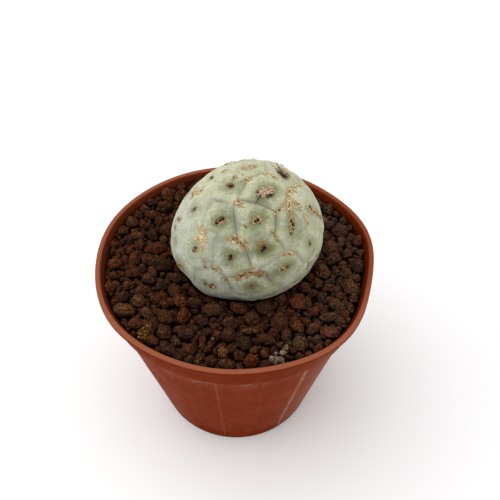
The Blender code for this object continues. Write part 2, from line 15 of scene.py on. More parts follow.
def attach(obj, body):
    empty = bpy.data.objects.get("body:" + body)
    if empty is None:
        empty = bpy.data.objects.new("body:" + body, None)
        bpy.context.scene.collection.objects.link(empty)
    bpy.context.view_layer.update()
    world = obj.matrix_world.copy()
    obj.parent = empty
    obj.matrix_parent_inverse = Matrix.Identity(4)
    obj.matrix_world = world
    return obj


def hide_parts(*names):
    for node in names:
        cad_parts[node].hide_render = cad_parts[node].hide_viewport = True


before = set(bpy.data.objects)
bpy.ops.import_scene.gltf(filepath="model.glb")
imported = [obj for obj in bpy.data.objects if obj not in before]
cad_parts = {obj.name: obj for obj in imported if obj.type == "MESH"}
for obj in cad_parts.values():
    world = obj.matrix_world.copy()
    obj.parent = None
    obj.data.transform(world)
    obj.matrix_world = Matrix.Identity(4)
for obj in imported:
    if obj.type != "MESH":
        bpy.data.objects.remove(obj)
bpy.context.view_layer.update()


# Camera. A close-up looks down on the pot from the front at about 46 degrees, rolled by less
# than a degree, with everything in focus.

CAMERA_PLACE = (0.00427, -0.12561, 0.19741)
CAMERA_TIP = 43.85
CAMERA_ROLL = 0.898
LENS_MM = 43.2
SENSOR_MM = 36.0
NEAREST = 0.005

camera = bpy.data.objects.new("camera", bpy.data.cameras.new("camera"))
camera.data.lens = LENS_MM
camera.data.sensor_width = SENSOR_MM
camera.data.clip_start = NEAREST
bpy.context.scene.collection.objects.link(camera)
camera.matrix_world = (
    Matrix.Translation(CAMERA_PLACE)
    @ Matrix.Rotation(math.radians(CAMERA_TIP), 4, "X")
    @ Matrix.Rotation(math.radians(CAMERA_ROLL), 4, "Z")
)
bpy.context.scene.camera = camera
bpy.context.scene.view_settings.view_transform = "Standard"


# Studio. A wide white floor under a bright white room, and a broad soft light above and to the
# left, so that shadows stay faint; the pot's inside is also painted darker than its lip as shade.

FLOOR_RADIUS = 3.0
FLOOR_SIDES = 96
LIGHTS_AIM = Vector((0.0, 0.0, 0.05))
ROOM_STRENGTH = 0.62
# Name, place, size and power.
SOFT_LIGHTS = (
    ("window_light", (-0.34, 0.09, 0.86), 1.40, 5.6),
    ("front_fill", (-0.15, -0.75, 0.45), 0.70, 0.6),
    ("left_fill", (-0.80, -0.05, 0.36), 0.80, 1.4),
    ("right_fill", (0.70, 0.05, 0.40), 0.70, 1.1),
)


class Finish:
    """A material with its shader, and the colour that is laid on it coat by coat."""

    def __init__(self, name, colour, roughness, **constants):
        self.material = bpy.data.materials.new(name)
        self.material.use_nodes = True
        self.tree = self.material.node_tree
        self.shader = self.tree.nodes["Principled BSDF"]
        self.shader.inputs["Roughness"].default_value = roughness
        for socket, value in constants.items():
            self.shader.inputs[socket.replace("_", " ")].default_value = value
        self.where = self.put("ShaderNodeTexCoord").outputs["Object"]
        self.colour = colour

    def put(self, kind, inputs=None, **settings):
        """Add a node with its settings; an input is fed by another node's socket or by a value."""
        node = self.tree.nodes.new(kind)
        for key, value in settings.items():
            setattr(node, key, value)
        for name, value in (inputs or {}).items():
            if isinstance(value, bpy.types.NodeSocket):
                self.tree.links.new(value, node.inputs[name])
            else:
                node.inputs[name].default_value = value
        return node

    def axis(self, name):
        """Place on the object along X, Y or Z, in metres."""
        return self.put("ShaderNodeSeparateXYZ", {"Vector": self.where}).outputs[name]

    def along(self, way):
        """Place on the object along a direction, in metres."""
        inputs = {0: self.where, 1: way}
        return self.put("ShaderNodeVectorMath", inputs, operation="DOT_PRODUCT").outputs["Value"]

    def layer(self, name):
        """A number that is kept for each point."""
        return self.put("ShaderNodeAttribute", attribute_name=name).outputs["Fac"]

    def cloud(self, grain_mm, detail=3.0, rough=0.55, where=None):
        """Soft noise from 0 to 1 with patches of a given size."""
        inputs = {"Vector": where or self.where, "Scale": 1000.0 / grain_mm,
                  "Detail": detail, "Roughness": rough}
        return self.put("ShaderNodeTexNoise", inputs).outputs["Fac"]

    def fade(self, value, low, high, start=0.0, end=1.0):
        """Smooth step of a value from low to high."""
        inputs = {"Value": value, "From Min": low, "From Max": high, "To Min": start, "To Max": end}
        return self.put("ShaderNodeMapRange", inputs, interpolation_type="SMOOTHSTEP").outputs["Result"]

    def plus(self, first, second, kind="ADD"):
        """Sum of two values, or their product."""
        return self.put("ShaderNodeMath", {0: first, 1: second}, operation=kind).outputs[0]

    def times(self, first, second):
        """Product of two values."""
        return self.plus(first, second, "MULTIPLY")

    def mix(self, share, first, second):
        """Mix two colours by a share."""
        first, second = (value if isinstance(value, bpy.types.NodeSocket) else (*value, 1.0)
                         for value in (first, second))
        return self.put("ShaderNodeMix", {0: share, 6: first, 7: second}, data_type="RGBA").outputs[2]

    def coat(self, colour, share, *span):
        """Lay a colour over the others by a share, or where a value fades in over a span."""
        share = self.fade(share, *span) if span else share
        self.colour = self.mix(share, self.colour, colour)

    def close(self, *bumps, roughness=None):
        """Feed the shader its colour, its roughness where that varies, and fine bumps: each is a
        height from 0 to 1 and its depth in millimetres."""
        ends = {"Base Color": self.colour, "Roughness": roughness}
        for height, depth_mm in bumps:
            inputs = {"Height": height, "Distance": depth_mm / 1000.0, "Strength": 1.0}
            if "Normal" in ends:
                inputs["Normal"] = ends["Normal"]
            ends["Normal"] = self.put("ShaderNodeBump", inputs).outputs["Normal"]
        for name, source in ends.items():
            if source is not None:
                self.tree.links.new(source, self.shader.inputs[name])
        return self.material


def new_piece(name, points, faces, material, sharp_angle=None):
    """Make a mesh object from points and faces, shaded smooth, with its faces turned out."""
    mesh = bpy.data.meshes.new(name)
    mesh.from_pydata(np.asarray(points).tolist(), [], faces)
    body = bmesh.new()
    body.from_mesh(mesh)
    bmesh.ops.recalc_face_normals(body, faces=body.faces)
    body.to_mesh(mesh)
    body.free()
    mesh.materials.append(material)
    mesh.shade_smooth()
    if sharp_angle is not None:
        mesh.set_sharp_from_angle(angle=math.radians(sharp_angle))
    piece = bpy.data.objects.new(name, mesh)
    bpy.context.scene.collection.objects.link(piece)
    return piece


def turns(count):
    """Evenly spaced angles of one full turn."""
    return np.linspace(0.0, 2.0 * math.pi, count, endpoint=False)


def level_ring(reach, angles, height, axis=(0.0, 0.0)):
    """Points at one height, at a reach from an upright axis in each direction."""
    return np.column_stack((axis[0] + reach * np.cos(angles), axis[1] + reach * np.sin(angles),
                            np.full(len(angles), height)))


world = bpy.data.worlds.new("white_room")
world.use_nodes = True
background = world.node_tree.nodes["Background"]
background.inputs["Color"].default_value = (1.0, 1.0, 1.0, 1.0)
background.inputs["Strength"].default_value = ROOM_STRENGTH
bpy.context.scene.world = world

for name, place, size, power in SOFT_LIGHTS:
    light = bpy.data.objects.new(name, bpy.data.lights.new(name, "AREA"))
    light.data.shape = "DISK"
    light.data.size = size
    light.data.energy = power
    light.location = place
    light.rotation_euler = (LIGHTS_AIM - light.location).to_track_quat("-Z", "Y").to_euler()
    bpy.context.scene.collection.objects.link(light)

white = Finish("white_floor", (0.965, 0.965, 0.965), 0.8)
white.coat((0.98, 0.98, 0.98), white.cloud(60.0))
floor = new_piece("floor", level_ring(FLOOR_RADIUS, turns(FLOOR_SIDES), 0.0),
                  [tuple(range(FLOOR_SIDES))], white.close())


# Nursery pot. One thin moulding of terracotta-coloured polypropylene: a tapered body with four
# shallow windows and slim ribs, a straight collar, a rolled lip and a floor with drain holes.

POT_HEIGHT = 0.065
LIP_RADIUS = 0.0425
LIP_WIDTH = 0.0013
LIP_THICKNESS = 0.0019
COLLAR_DEPTH = 0.0100
COLLAR_TOP_RADIUS = 0.0410
COLLAR_FOOT_RADIUS = 0.0398
BODY_TOP_RADIUS = 0.0389
BASE_RADIUS = 0.0273
WALL = 0.0007
FLOOR = 0.0016
FOOT_BEVEL = 0.0006
RIM_SQUEEZE = (
    (0.0026, 2, -85.5), (0.0028, 3, -57.0), (0.0083, 4, 35.5), (0.0068, 5, 17.8), (0.0039, 6, 18.1),
    (0.0044, 7, 10.8),
)
WINDOW_START = -117.0
WINDOW_SPAN = 60.0
WINDOW_PITCH = 90.0
WINDOW_DEPTH = 0.00035
WINDOW_FOOT = 0.0030
WINDOW_STEP = 0.9
# Painted highlights along the window edges and ribs: place and half width in degrees from a window's
# start, and strength. They are strongest round one angle, and a painted sheen lies round another.
WINDOW_HIGHLIGHTS = (
    (0.4 * WINDOW_STEP, 0.7, 0.35), (WINDOW_SPAN / 3.0, 0.6, 0.22),
    (2.0 * WINDOW_SPAN / 3.0, 0.5, 0.08), (WINDOW_SPAN - 0.2, 0.8, 1.0),
)
HIGHLIGHT_ANGLE, HIGHLIGHT_SPAN = -77.0, 34.0
GLANCE_ANGLE, GLANCE_SPAN, GLANCE_SHARE = -38.0, 17.0, 0.42
# Scuffed places under the collar: angle and half span in degrees, strength, and depth in metres.
SCUFFS = (
    (-104, 8, 0.80, 0.0052), (-91, 6, 0.35, 0.0022), (-82, 7, 0.75, 0.0042), (-64, 5, 0.45, 0.0030),
    (-118, 4, 0.50, 0.0040), (-20, 9, 0.40, 0.0030), (35, 8, 0.50, 0.0035), (88, 12, 0.40, 0.0040),
    (140, 7, 0.50, 0.0030), (190, 9, 0.40, 0.0040),
)
RIB_HEIGHT = 0.00025
RIB_HALF_SPAN = 0.8
DRAIN_COUNT = 8
DRAIN_RADIUS = 0.0030
DRAIN_CIRCLE = 0.0185
DRAIN_SIDES = 40
POT_COLUMNS = 720
POT_SHARP_ANGLE = 40.0
COLLAR_FOOT = POT_HEIGHT - COLLAR_DEPTH


def part_way(a, b, share):
    """Value that lies the given share of the way from a to b."""
    return a + (b - a) * share


def squeeze(angle, height):
    """Radius factor of the out-of-round pot, full at the rim and gone at the base."""
    waves = sum(size * np.cos(count * (angle - math.radians(crest)))
                for size, count, crest in RIM_SQUEEZE)
    return 1.0 + waves * height / POT_HEIGHT


def inner_radius(height):
    """Mean radius of the pot's inner face at a height."""
    step = WALL
    if height >= COLLAR_FOOT:
        share = (height - COLLAR_FOOT) / COLLAR_DEPTH
        return part_way(COLLAR_FOOT_RADIUS, COLLAR_TOP_RADIUS, share) - WALL
    if height >= COLLAR_FOOT - step:
        share = (height - COLLAR_FOOT + step) / step
        return part_way(BODY_TOP_RADIUS, COLLAR_FOOT_RADIUS, share) - WALL
    return part_way(BASE_RADIUS, BODY_TOP_RADIUS, height / (COLLAR_FOOT - step)) - WALL


def rounded(outline, steps=5):
    """Outline of (radius, height, sunk, corner size) with each corner turned into a curve."""
    smooth = []
    for before, here, after in zip(outline, outline[1:], outline[2:]):
        here3, size = np.array(here[:3]), here[3]
        if size == 0.0:
            smooth.append(here3)
            continue
        sides = []
        for other in (before, after):
            way = np.array(other[:2]) - here3[:2]
            reach = min(size / np.linalg.norm(way), 0.45)
            sides.append(here3 + (np.array(other[:3]) - here3) * reach)
        for share in np.linspace(0.0, 1.0, steps + 1):
            first, last = part_way(sides[0], here3, share), part_way(here3, sides[1], share)
            smooth.append(part_way(first, last, share))
    return smooth


def pot_outline():
    """Up the outside from the middle of the base, over the lip and down the inside."""
    top = POT_HEIGHT
    under = top - LIP_THICKNESS
    lip_in = LIP_RADIUS - LIP_WIDTH
    slope = (BODY_TOP_RADIUS - BASE_RADIUS) / COLLAR_FOOT
    window_top = COLLAR_FOOT - FOOT_BEVEL
    body = [(BASE_RADIUS + slope * height, height, 1.0, 0.0)
            for height in np.linspace(WINDOW_FOOT + 4 * FOOT_BEVEL, window_top - 3 * FOOT_BEVEL, 9)]
    return [
        (0.5 * BASE_RADIUS, 0.0, 0.0, 0.0),
        (BASE_RADIUS - 2 * FOOT_BEVEL, 0.0, 0.0, 0.0),
        (BASE_RADIUS, 0.0, 0.0, 0.8 * FOOT_BEVEL),
        (BASE_RADIUS + slope * WINDOW_FOOT, WINDOW_FOOT, 0.0, 0.0),
        (BASE_RADIUS + slope * (WINDOW_FOOT + FOOT_BEVEL), WINDOW_FOOT + FOOT_BEVEL, 1.0, 0.0),
        *body,
        (BODY_TOP_RADIUS, window_top, 1.0, 0.0003),
        (COLLAR_FOOT_RADIUS, COLLAR_FOOT, 0.0, 0.0003),
        (part_way(COLLAR_FOOT_RADIUS, COLLAR_TOP_RADIUS, 0.4), part_way(COLLAR_FOOT, under, 0.4), 0.0, 0.0),
        (part_way(COLLAR_FOOT_RADIUS, COLLAR_TOP_RADIUS, 0.8), part_way(COLLAR_FOOT, under, 0.8), 0.0, 0.0),
        (COLLAR_TOP_RADIUS, under, 0.0, 0.0003),
        (LIP_RADIUS, under + 0.0001, 0.0, 0.0005),
        (LIP_RADIUS, top, 0.0, 0.0003),
        (lip_in, top, 0.0, 0.0004),
        (inner_radius(under), under, 0.0, 0.0004),
        (inner_radius(COLLAR_FOOT), COLLAR_FOOT, 0.0, 0.0004),
        (inner_radius(COLLAR_FOOT - WALL), COLLAR_FOOT - WALL, 0.0, 0.0004),
        (inner_radius(2 * FLOOR), 2 * FLOOR, 0.0, 0.0006),
        (inner_radius(FLOOR) - FOOT_BEVEL, FLOOR, 0.0, 0.0006),
        (0.5 * BASE_RADIUS, FLOOR, 0.0, 0.0),
    ]


def window_depth(angles):
    """How far each upright line of the body is sunk, from 0 to 1, ribs included."""
    place = (np.degrees(angles) - WINDOW_START) % WINDOW_PITCH
    inside = np.clip(np.minimum(place, WINDOW_SPAN - place) / WINDOW_STEP, 0.0, 1.0)
    third = WINDOW_SPAN / 3.0
    for centre, half in ((third, RIB_HALF_SPAN), (2.0 * third, 0.6 * RIB_HALF_SPAN)):
        near = np.clip(1.0 - np.abs(place - centre) / half, 0.0, 1.0)
        inside = inside - RIB_HEIGHT / WINDOW_DEPTH * near
    return inside


def window_edges(angles):
    """How strong the painted highlight is on each upright line of the body, near a window's edge or a rib,
    from 0 to 1.
    """
    place = (np.degrees(angles) - WINDOW_START) % WINDOW_PITCH
    near = np.zeros(len(place))
    for line, half, share in WINDOW_HIGHLIGHTS:
        near = np.maximum(near, share * np.clip(1.3 - np.abs(place - line) / half, 0.0, 1.0))
    front = np.exp(-((np.degrees(angles) - HIGHLIGHT_ANGLE) / HIGHLIGHT_SPAN) ** 4)
    return near * (0.22 + 0.78 * front)


def scuff_shares(angles, heights):
    """How scuffed the body is just under the collar, from 0 to 1."""
    shares = np.zeros(len(angles))
    for middle, half, share, deep in SCUFFS:
        aside = (np.degrees(angles) - middle + 180.0) % 360.0 - 180.0
        low = (COLLAR_FOOT - 0.0002 - heights) / deep
        band = np.where(low < 0.0, 0.0, np.clip(1.0 - low, 0.0, 1.0) ** 0.7)
        shares = np.maximum(shares, share * np.exp(-(aside / half) ** 2) * band)
    return shares


def tube_faces(rings, around, start=0, closed=False):
    """Faces of a stack of rings of points, whose first and last ring may be closed too."""
    faces = []
    for a in range(start, start + (rings - 1) * around, around):
        for i in range(around):
            j = (i + 1) % around
            faces.append((a + i, a + j, a + around + j, a + around + i))
    if closed:
        faces += [tuple(range(a, a + around)) for a in (start, start + (rings - 1) * around)]
    return faces


def add_layer(piece, name, values):
    """Keep a number for each point, for the material to read."""
    layer = piece.data.attributes.new(name, "FLOAT", "POINT")
    layer.data.foreach_set("value", np.asarray(values, dtype=np.float32))


def pot_plastic():
    """Terracotta polypropylene, scuffed at the tops of the windows, with painted light and shade: highlights
    on the lip and window edges, a sheen on the right, shade inside, on the collar and at the foot.
    """
    plastic = Finish("terracotta_plastic", (0.172, 0.0195, 0.0016), 0.42, IOR=1.06)
    height = plastic.axis("Z")
    inputs = {0: plastic.where, 1: (1.0, 1.0, 0.12)}
    stretched = plastic.put("ShaderNodeVectorMath", inputs, operation="MULTIPLY").outputs[0]
    streaks = plastic.cloud(1.6, 4.0, 0.6, stretched)
    mottle = plastic.cloud(14.0, 4.0, 0.6)
    fine = plastic.cloud(0.35, 4.0, 0.65)
    at_lip = (POT_HEIGHT - 0.0006, POT_HEIGHT - 0.0001)
    plastic.coat((0.196, 0.0250, 0.0026), mottle, 0.35, 0.68)
    plastic.coat((0.26, 0.050, 0.014), streaks, 0.45, 0.75, 0.0, 0.08)
    # Painted highlight on the top of the lip, weaker towards the right and back.
    lip_highlight = plastic.fade(plastic.along((0.8, 0.6, 0.0)), 0.010, 0.032, 0.85, 0.50)
    plastic.coat((0.31, 0.100, 0.052), plastic.times(lip_highlight, plastic.fade(height, *at_lip)))
    # The inside below the lip: a film of dust and painted shade, darkest towards the right.
    inside_dust_and_shade = plastic.times(plastic.layer("inside"), plastic.fade(mottle, 0.2, 0.7, 0.95, 0.82))
    across = plastic.fade(plastic.axis("X"), -0.020, 0.020)
    plastic.coat(plastic.mix(across, (0.034, 0.0230, 0.0145), (0.018, 0.0058, 0.0021)), inside_dust_and_shade)
    # Painted shade on the collar under the lip.
    collar = plastic.fade(height, COLLAR_FOOT - 0.0004, COLLAR_FOOT + 0.0010, 0.0, 0.45)
    plastic.coat((0.140, 0.0150, 0.0015), plastic.times(collar, plastic.fade(height, *at_lip, 1.0, 0.0)))
    # Painted sheen on the right of the body.
    plastic.coat((0.36, 0.155, 0.105), plastic.layer("sheen"))
    # Painted highlights along the window edges and ribs, broken up in patches.
    worn = plastic.fade(plastic.cloud(2.6, 3.0, 0.6), 0.35, 0.62, 0.40, 0.80)
    plastic.coat((0.40, 0.190, 0.130), plastic.times(plastic.layer("edge"), worn))
    scuffed = plastic.layer("scuff")
    drifts = plastic.fade(plastic.cloud(2.2, 5.0, 0.7), 0.35, 0.62)
    plastic.coat((0.34, 0.170, 0.120), plastic.times(scuffed, drifts))
    flecks = plastic.fade(plastic.cloud(0.65, 2.0, 0.6), 0.56, 0.68)
    plastic.coat((0.55, 0.34, 0.25), plastic.times(scuffed, flecks))
    # Painted shade on the foot of the pot, darkest at the base.
    plastic.coat((0.050, 0.0105, 0.0055), height, 0.0003, 0.0022, 0.80, 0.0)
    plastic.coat((0.34, 0.11, 0.055), plastic.cloud(9.0, 6.0, 0.7), 0.55, 0.72, 0.0, 0.04)
    roughness = plastic.fade(plastic.cloud(3.0, 5.0, 0.7), 0.30, 0.70, 0.38, 0.58)
    return plastic.close((fine, 0.012), (streaks, 0.03), (mottle, 0.15), roughness=roughness)


def drain_pegs():
    """Points and faces of the pegs that cut the drain holes."""
    pegs, faces = [], []
    for hole in range(DRAIN_COUNT):
        turn = 2.0 * math.pi * (hole + 0.5) / DRAIN_COUNT
        axis = (DRAIN_CIRCLE * math.cos(turn), DRAIN_CIRCLE * math.sin(turn))
        faces += tube_faces(2, DRAIN_SIDES, len(pegs) * DRAIN_SIDES, closed=True)
        for height in (-FLOOR, 2.0 * FLOOR):
            pegs.append(level_ring(DRAIN_RADIUS, turns(DRAIN_SIDES), height, axis))
    return np.vstack(pegs), faces


def cut_holes(pot, cutter):
    """Cut a mesh out of the pot and drop it."""
    cut = pot.modifiers.new("drain_holes", "BOOLEAN")
    cut.operation = "DIFFERENCE"
    cut.solver = "MANIFOLD"
    cut.object = cutter
    graph = bpy.context.evaluated_depsgraph_get()
    pot.data = bpy.data.meshes.new_from_object(pot.evaluated_get(graph))
    pot.modifiers.clear()
    bpy.data.objects.remove(cutter)


def mark_wear_and_shading(pot):
    """Keep for each point the dust and painted shade inside the pot, the painted highlights on the window
    edges, the painted sheen, and how scuffed the pot is.
    """
    points = np.array([v.co for v in pot.data.vertices])
    height, angle = points[:, 2], np.arctan2(points[:, 1], points[:, 0])
    reach = np.hypot(points[:, 0], points[:, 1]) / squeeze(angle, height)
    face = np.array([inner_radius(z) for z in height])
    edge = np.where(height > POT_HEIGHT - LIP_THICKNESS + 0.0002, LIP_RADIUS - LIP_WIDTH, face)
    within = reach < edge + 0.2 * WALL
    windowed = (height > WINDOW_FOOT) & (height < COLLAR_FOOT - FOOT_BEVEL) & ~within
    glance = np.exp(-((np.degrees(angle) - GLANCE_ANGLE) / GLANCE_SPAN) ** 2) * (height < POT_HEIGHT - 0.0012)
    below_lip = np.clip((POT_HEIGHT - 0.0001 - height) / 0.0007, 0.0, 1.0)
    add_layer(pot, "inside", np.where(within, below_lip, 0.0))
    add_layer(pot, "edge", np.where(windowed, window_edges(angle), 0.0))
    add_layer(pot, "sheen", np.where(within, 0.0, GLANCE_SHARE * glance))
    add_layer(pot, "scuff", np.where(within, 0.0, scuff_shares(angle, height)))


def make_pot():
    """Turn the outline, sink its windows, close the floor and cut the drain holes."""
    angles = turns(POT_COLUMNS)
    sink = WINDOW_DEPTH * window_depth(angles)
    rings = [level_ring(radius * squeeze(angles, height) - sink * sunk, angles, height)
             for radius, height, sunk in rounded(pot_outline())]
    plastic = pot_plastic()
    pot = new_piece("nursery_pot", np.vstack(rings), tube_faces(len(rings), POT_COLUMNS, closed=True),
                    plastic, POT_SHARP_ANGLE)
    cut_holes(pot, new_piece("drain_pegs", *drain_pegs(), plastic))
    mark_wear_and_shading(pot)
    return pot


pot = make_pot()
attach(pot, "root")
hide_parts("pot")


# Growing mix. Dark damp compost fills the pot below the gravel and shows only in the drain
# holes, so the frame's own solid stays and takes a crumbly finish.

def mix_finish():
    """Dark brown crumb with paler fibres."""
    mix = Finish("dark_growing_mix", (0.016, 0.010, 0.007), 0.95)
    crumb = mix.cloud(1.2, 6.0, 0.7)
    mix.coat((0.060, 0.036, 0.022), crumb, 0.35, 0.70)
    mix.coat((0.18, 0.12, 0.07), mix.cloud(0.6, 2.0, 0.5), 0.66, 0.74)
    return mix.close((crumb, 0.6), (mix.cloud(0.4, 4.0, 0.7), 0.15))


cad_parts["potting_mix"].data.materials.clear()
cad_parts["potting_mix"].data.materials.append(mix_finish())


# Cactus body. One fleshy segment grown in flat tubercles that meet in soft valleys, each with
# a sunken areole at its middle. The skin is pale grey-green under a waxy bloom and greener
# round the areoles. It stands on a short root that runs down into the mix.

EGG_CENTRE = np.array((0.0045, -0.0011, 0.0760))
EGG_RADII = (0.0206, 0.0195, 0.0227)
EGG_TILT = 55.4
EGG_ROLL = -3.2
EGG_TAPER = 0.088
CELL_COUNT = 60
SPREAD_ROUNDS = 120
SPREAD_PUSH = 0.0006
GROOVE_BEND = 0.020
GROOVE_DEPTH = 0.00058
DOME_HEIGHT = 0.00026
RELIEF_FOOT = 0.0580
RELIEF_FADE = 0.0025
ROOT_RADIUS = 0.0030
ROOT_TAPER = 0.35
ROOT_NECK = 0.0060
ROOT_TIP = 0.0300
VALLEY_MM = 1.35
CREASE_MM = 0.20
CREASE_GRAIN = 0.0048
DOME_MM = 2.8
EDGE_STEP = 0.00046
# Lumps of the skin: grain in metres, seed and height in metres.
SKIN_LUMPS = ((0.0045, 1, 0.000085), (0.0018, 2, 0.000050), (0.0008, 6, 0.0000225))
AREOLE_LIP = 0.00016
AREOLE_DIP = 0.00032
DIP_MM = 1.2
AREOLE_ROUGHNESS = 0.00016
PIT_DEPTH = 0.00075
CORK_HEIGHT = 0.00005
CORK_ROUGHNESS = 0.00014
CRUST_GRAIN = 0.00055
# The pits by draw: seed, shift on the egg, and radius in millimetres.
PIT_SEED = 61
PIT_SHIFT = 0.03
PIT_SIZES = (0.24, 0.40)
# What stands for the distance to an areole or a pit where none is near.
NO_AREOLE = 9.0

# Longitude and latitude about the egg's centre, length and width in millimetres, and turn.
AREOLES = (
    (-151, 71, 2.9, 1.8, 20), (-161, 38, 1.9, 1.2, 70), (-125, 46, 3.4, 2.2, 45),
    (-84, 52, 3.4, 1.8, 25), (-56, 71, 5.0, 2.9, 0), (-47, 41, 5.6, 1.7, 66),
    (-139, 15, 2.3, 1.5, 60), (-107, 21, 2.1, 1.6, 80), (-79, 30, 2.5, 2.0, 0),
    (-35, 18, 1.9, 1.4, 75), (-63, 8, 3.8, 2.2, 25), (-89, -7, 2.0, 1.7, 0),
    (-124, -14, 3.4, 2.3, 0), (104, 80, 3.8, 2.0, 0), (22, 63, 5.0, 3.0, -30),
    (-11, 32, 6.8, 2.0, -56), (163, 55, 1.7, 1.2, 0),
)
PLAIN_AREOLE = (1.8, 1.4, 0.0)
# Tubercles larger than their neighbours, the one whose areole is overgrown by a scar, and a
# place where the even spread has one areole too many.
TUBERCLE_SCALE = {3: 1.020, 4: 1.025, 5: 1.010}
SCARRED_TUBERCLE = (-18, 54)
SPARE_SITE = (-110, 1)
TUFT_AREOLE = 4
TUFT_RISE = 0.0009
ROOT_CELL = len(AREOLES)
# For the measured areoles: how green the skin is round it, how pale its dry crust is, number and
# length in millimetres of its hairs, and number of its pale scales.
AREOLE_LOOKS = (
    (0.7, 0.35, 14, 0.45, 6), (0.5, 0.30, 10, 0.40, 3), (0.9, 0.45, 22, 0.50, 12),
    (0.9, 0.65, 26, 0.50, 14), (0.8, 0.80, 84, 1.00, 40), (0.6, 0.70, 30, 0.50, 22),
    (0.5, 0.50, 14, 0.45, 6), (0.9, 0.30, 14, 0.45, 4), (1.15, 0.20, 14, 0.45, 4),
    (0.6, 0.30, 8, 0.35, 2), (0.8, 0.60, 26, 0.50, 18), (0.9, 0.25, 8, 0.40, 2),
    (0.5, 0.60, 24, 0.55, 18), (0.35, 0.85, 20, 0.50, 18), (0.25, 0.90, 5, 0.45, 5),
    (0.4, 0.80, 16, 0.60, 12), (0.25, 0.35, 6, 0.35, 2),
)
PLAIN_LOOK = (0.3, 0.55, 8, 0.40, 3)
# Dark pits in the measured areoles, painted nearly black as shade in their hollows; those beside
# the tuft stand for its painted shadow. Longitude, latitude and radius in millimetres.
PITS = (
    (-147, 72, 0.50), (-152, 71, 0.34), (-157, 70, 0.28), (-161, 38, 0.36), (-162, 35, 0.24),
    (-124, 48, 0.52), (-126, 46, 0.46), (-128, 43, 0.42), (-82, 52, 0.48), (-85, 51, 0.38),
    (-76, 72, 0.44), (-60, 67, 0.46), (-54, 67, 0.58), (-48, 67.5, 0.48), (-45, 43, 0.40),
    (-45, 40, 0.46), (-47, 37, 0.30), (-51, 35, 0.32), (-139, 16, 0.46), (-140, 13, 0.34),
    (-107, 22, 0.50), (-107, 20, 0.40), (-78, 30, 0.60), (-80, 28, 0.44), (-35, 17, 0.26),
    (-35, 20, 0.22), (-60, 9, 0.44), (-64, 7, 0.34), (-89, -6, 0.36), (-91, -8, 0.24),
    (-127, -14, 0.46), (-121, -12, 0.46), (-123, -16, 0.40), (80, 80, 0.26), (22, 67, 0.85),
    (24.5, 63.5, 1.05), (19, 64, 1.35), (20, 61.5, 1.00), (12, 64.5, 0.80), (-12, 38, 0.46),
    (-12, 34.5, 0.36), (-11, 31, 0.40), (-9, 27, 0.34), (-6, 22, 0.26), (164, 56, 0.42),
)
# How firm the crease is between two measured tubercles, from 0 for smooth skin to 1.
CREASES = {
    (2, 3): 0.85, (3, 4): 1.00, (0, 2): 0.85, (0, 4): 0.80, (4, 13): 0.60, (3, 5): 0.95, (4, 5): 0.65,
    (3, 8): 0.60, (2, 7): 0.50, (2, 6): 0.20, (1, 2): 0.40, (1, 6): 0.15, (0, 1): 0.30, (0, 13): 0.35,
    (6, 7): 0.35, (7, 8): 1.00, (7, 11): 0.50, (8, 10): 0.35, (5, 8): 0.55, (8, 11): 0.40,
    (11, 12): 0.90, (10, 11): 0.90, (7, 12): 0.50, (6, 12): 0.50, (5, 9): 0.40, (9, 15): 0.35,
    (5, 15): 0.60, (9, 10): 0.45, (5, 10): 0.40,
}
# Firmness of the other creases, and the place and reach of the side that is nearly smooth.
OTHER_CREASES = (0.12, 0.62)
SMOOTH_SIDE = (-170, 30)
SMOOTH_REACH = 0.62

# Corky scars: width in millimetres, brownness, number of flakes, and a line on the egg.
SCARS = (
    (3.1, 0.10, 8, ((-137, 30), (-136, 26))),
    (1.3, 0.15, 4, ((-137, 30), (-134, 34))),
    (1.3, 0.15, 4, ((-136, 26), (-141, 23))),
    (1.4, 0.10, 4, ((-135, 24), (-132, 18))),
    (2.0, 0.45, 16, ((-109, 36), (-102, 36), (-96, 33), (-95, 31))),
    (2.1, 0.85, 26, ((-101, 3), (-96, 6), (-89, 10), (-78, 6))),
    (1.9, 0.75, 9, ((-113, 63), (-108, 63))),
    (1.3, 0.60, 6, ((-121, 7), (-115, 8))),
    (1.0, 0.85, 3, ((-112, -1), (-109, -2))),
    (1.2, 0.30, 6, ((-69, 42), (-67, 40))),
    (0.8, 0.45, 5, ((-67, 40), (-65, 33))),
    (1.9, 0.20, 20, ((-30, 57), (-36, 53), (-43, 48))),
    (0.9, 0.25, 12, ((-37, 56), (-58, 54), (-61, 52))),
    (1.3, 0.40, 8, ((-2, 56), (-14, 60), (-22, 60))),
    (1.1, 0.30, 10, ((-29, 54), (-24, 45))),
    (1.0, 0.15, 7, ((-27, 60), (-12, 56))),
    (0.9, 0.15, 5, ((2, 56), (6, 49))),
    (1.6, 0.35, 9, ((-9, 29), (-3, 20))),
    (1.3, 0.60, 6, ((-172, 77), (-166, 77))),
    (1.3, 0.35, 8, ((-128, 82), (-108, 85))),
    (1.1, 0.30, 7, ((179, 50), (-175, 47))),
    (1.1, 0.25, 12, ((7, 80), (5, 76), (-5, 71))),
    (1.2, 0.20, 9, ((-62, 22), (-52, 19))),
    (0.9, 0.15, 6, ((-27, 38), (-29, 32))),
    (1.0, 0.60, 6, ((-42, -3), (-33, -2))),
    (0.9, 0.60, 5, ((160, 65), (151, 67))),
    (0.8, 0.80, 3, ((-77, 35), (-84, 34))),
    (0.8, 0.95, 2, ((-97, 47), (-96, 46))),
    (0.7, 0.95, 2, ((-127, 6), (-126, 5))),
    (0.7, 0.00, 1, ((2, 55.5), (3, 55.5))),
    (0.7, 0.00, 1, ((5, 49.5), (6, 49.5))),
    (0.7, 0.00, 1, ((-11, 55), (-10, 55))),
    (0.6, 0.00, 1, ((11, 80.5), (14, 80.5))),
)
# The scars by draw on the far side: seed, number, longitudes, latitudes, and lengths in degrees.
SCAR_SEED = 31
BACK_SCARS = 16
BACK_LONGITUDES = (0.0, 200.0)
BACK_LATITUDES = (-15.0, 68.0)
BACK_LENGTHS = (3.0, 8.0)
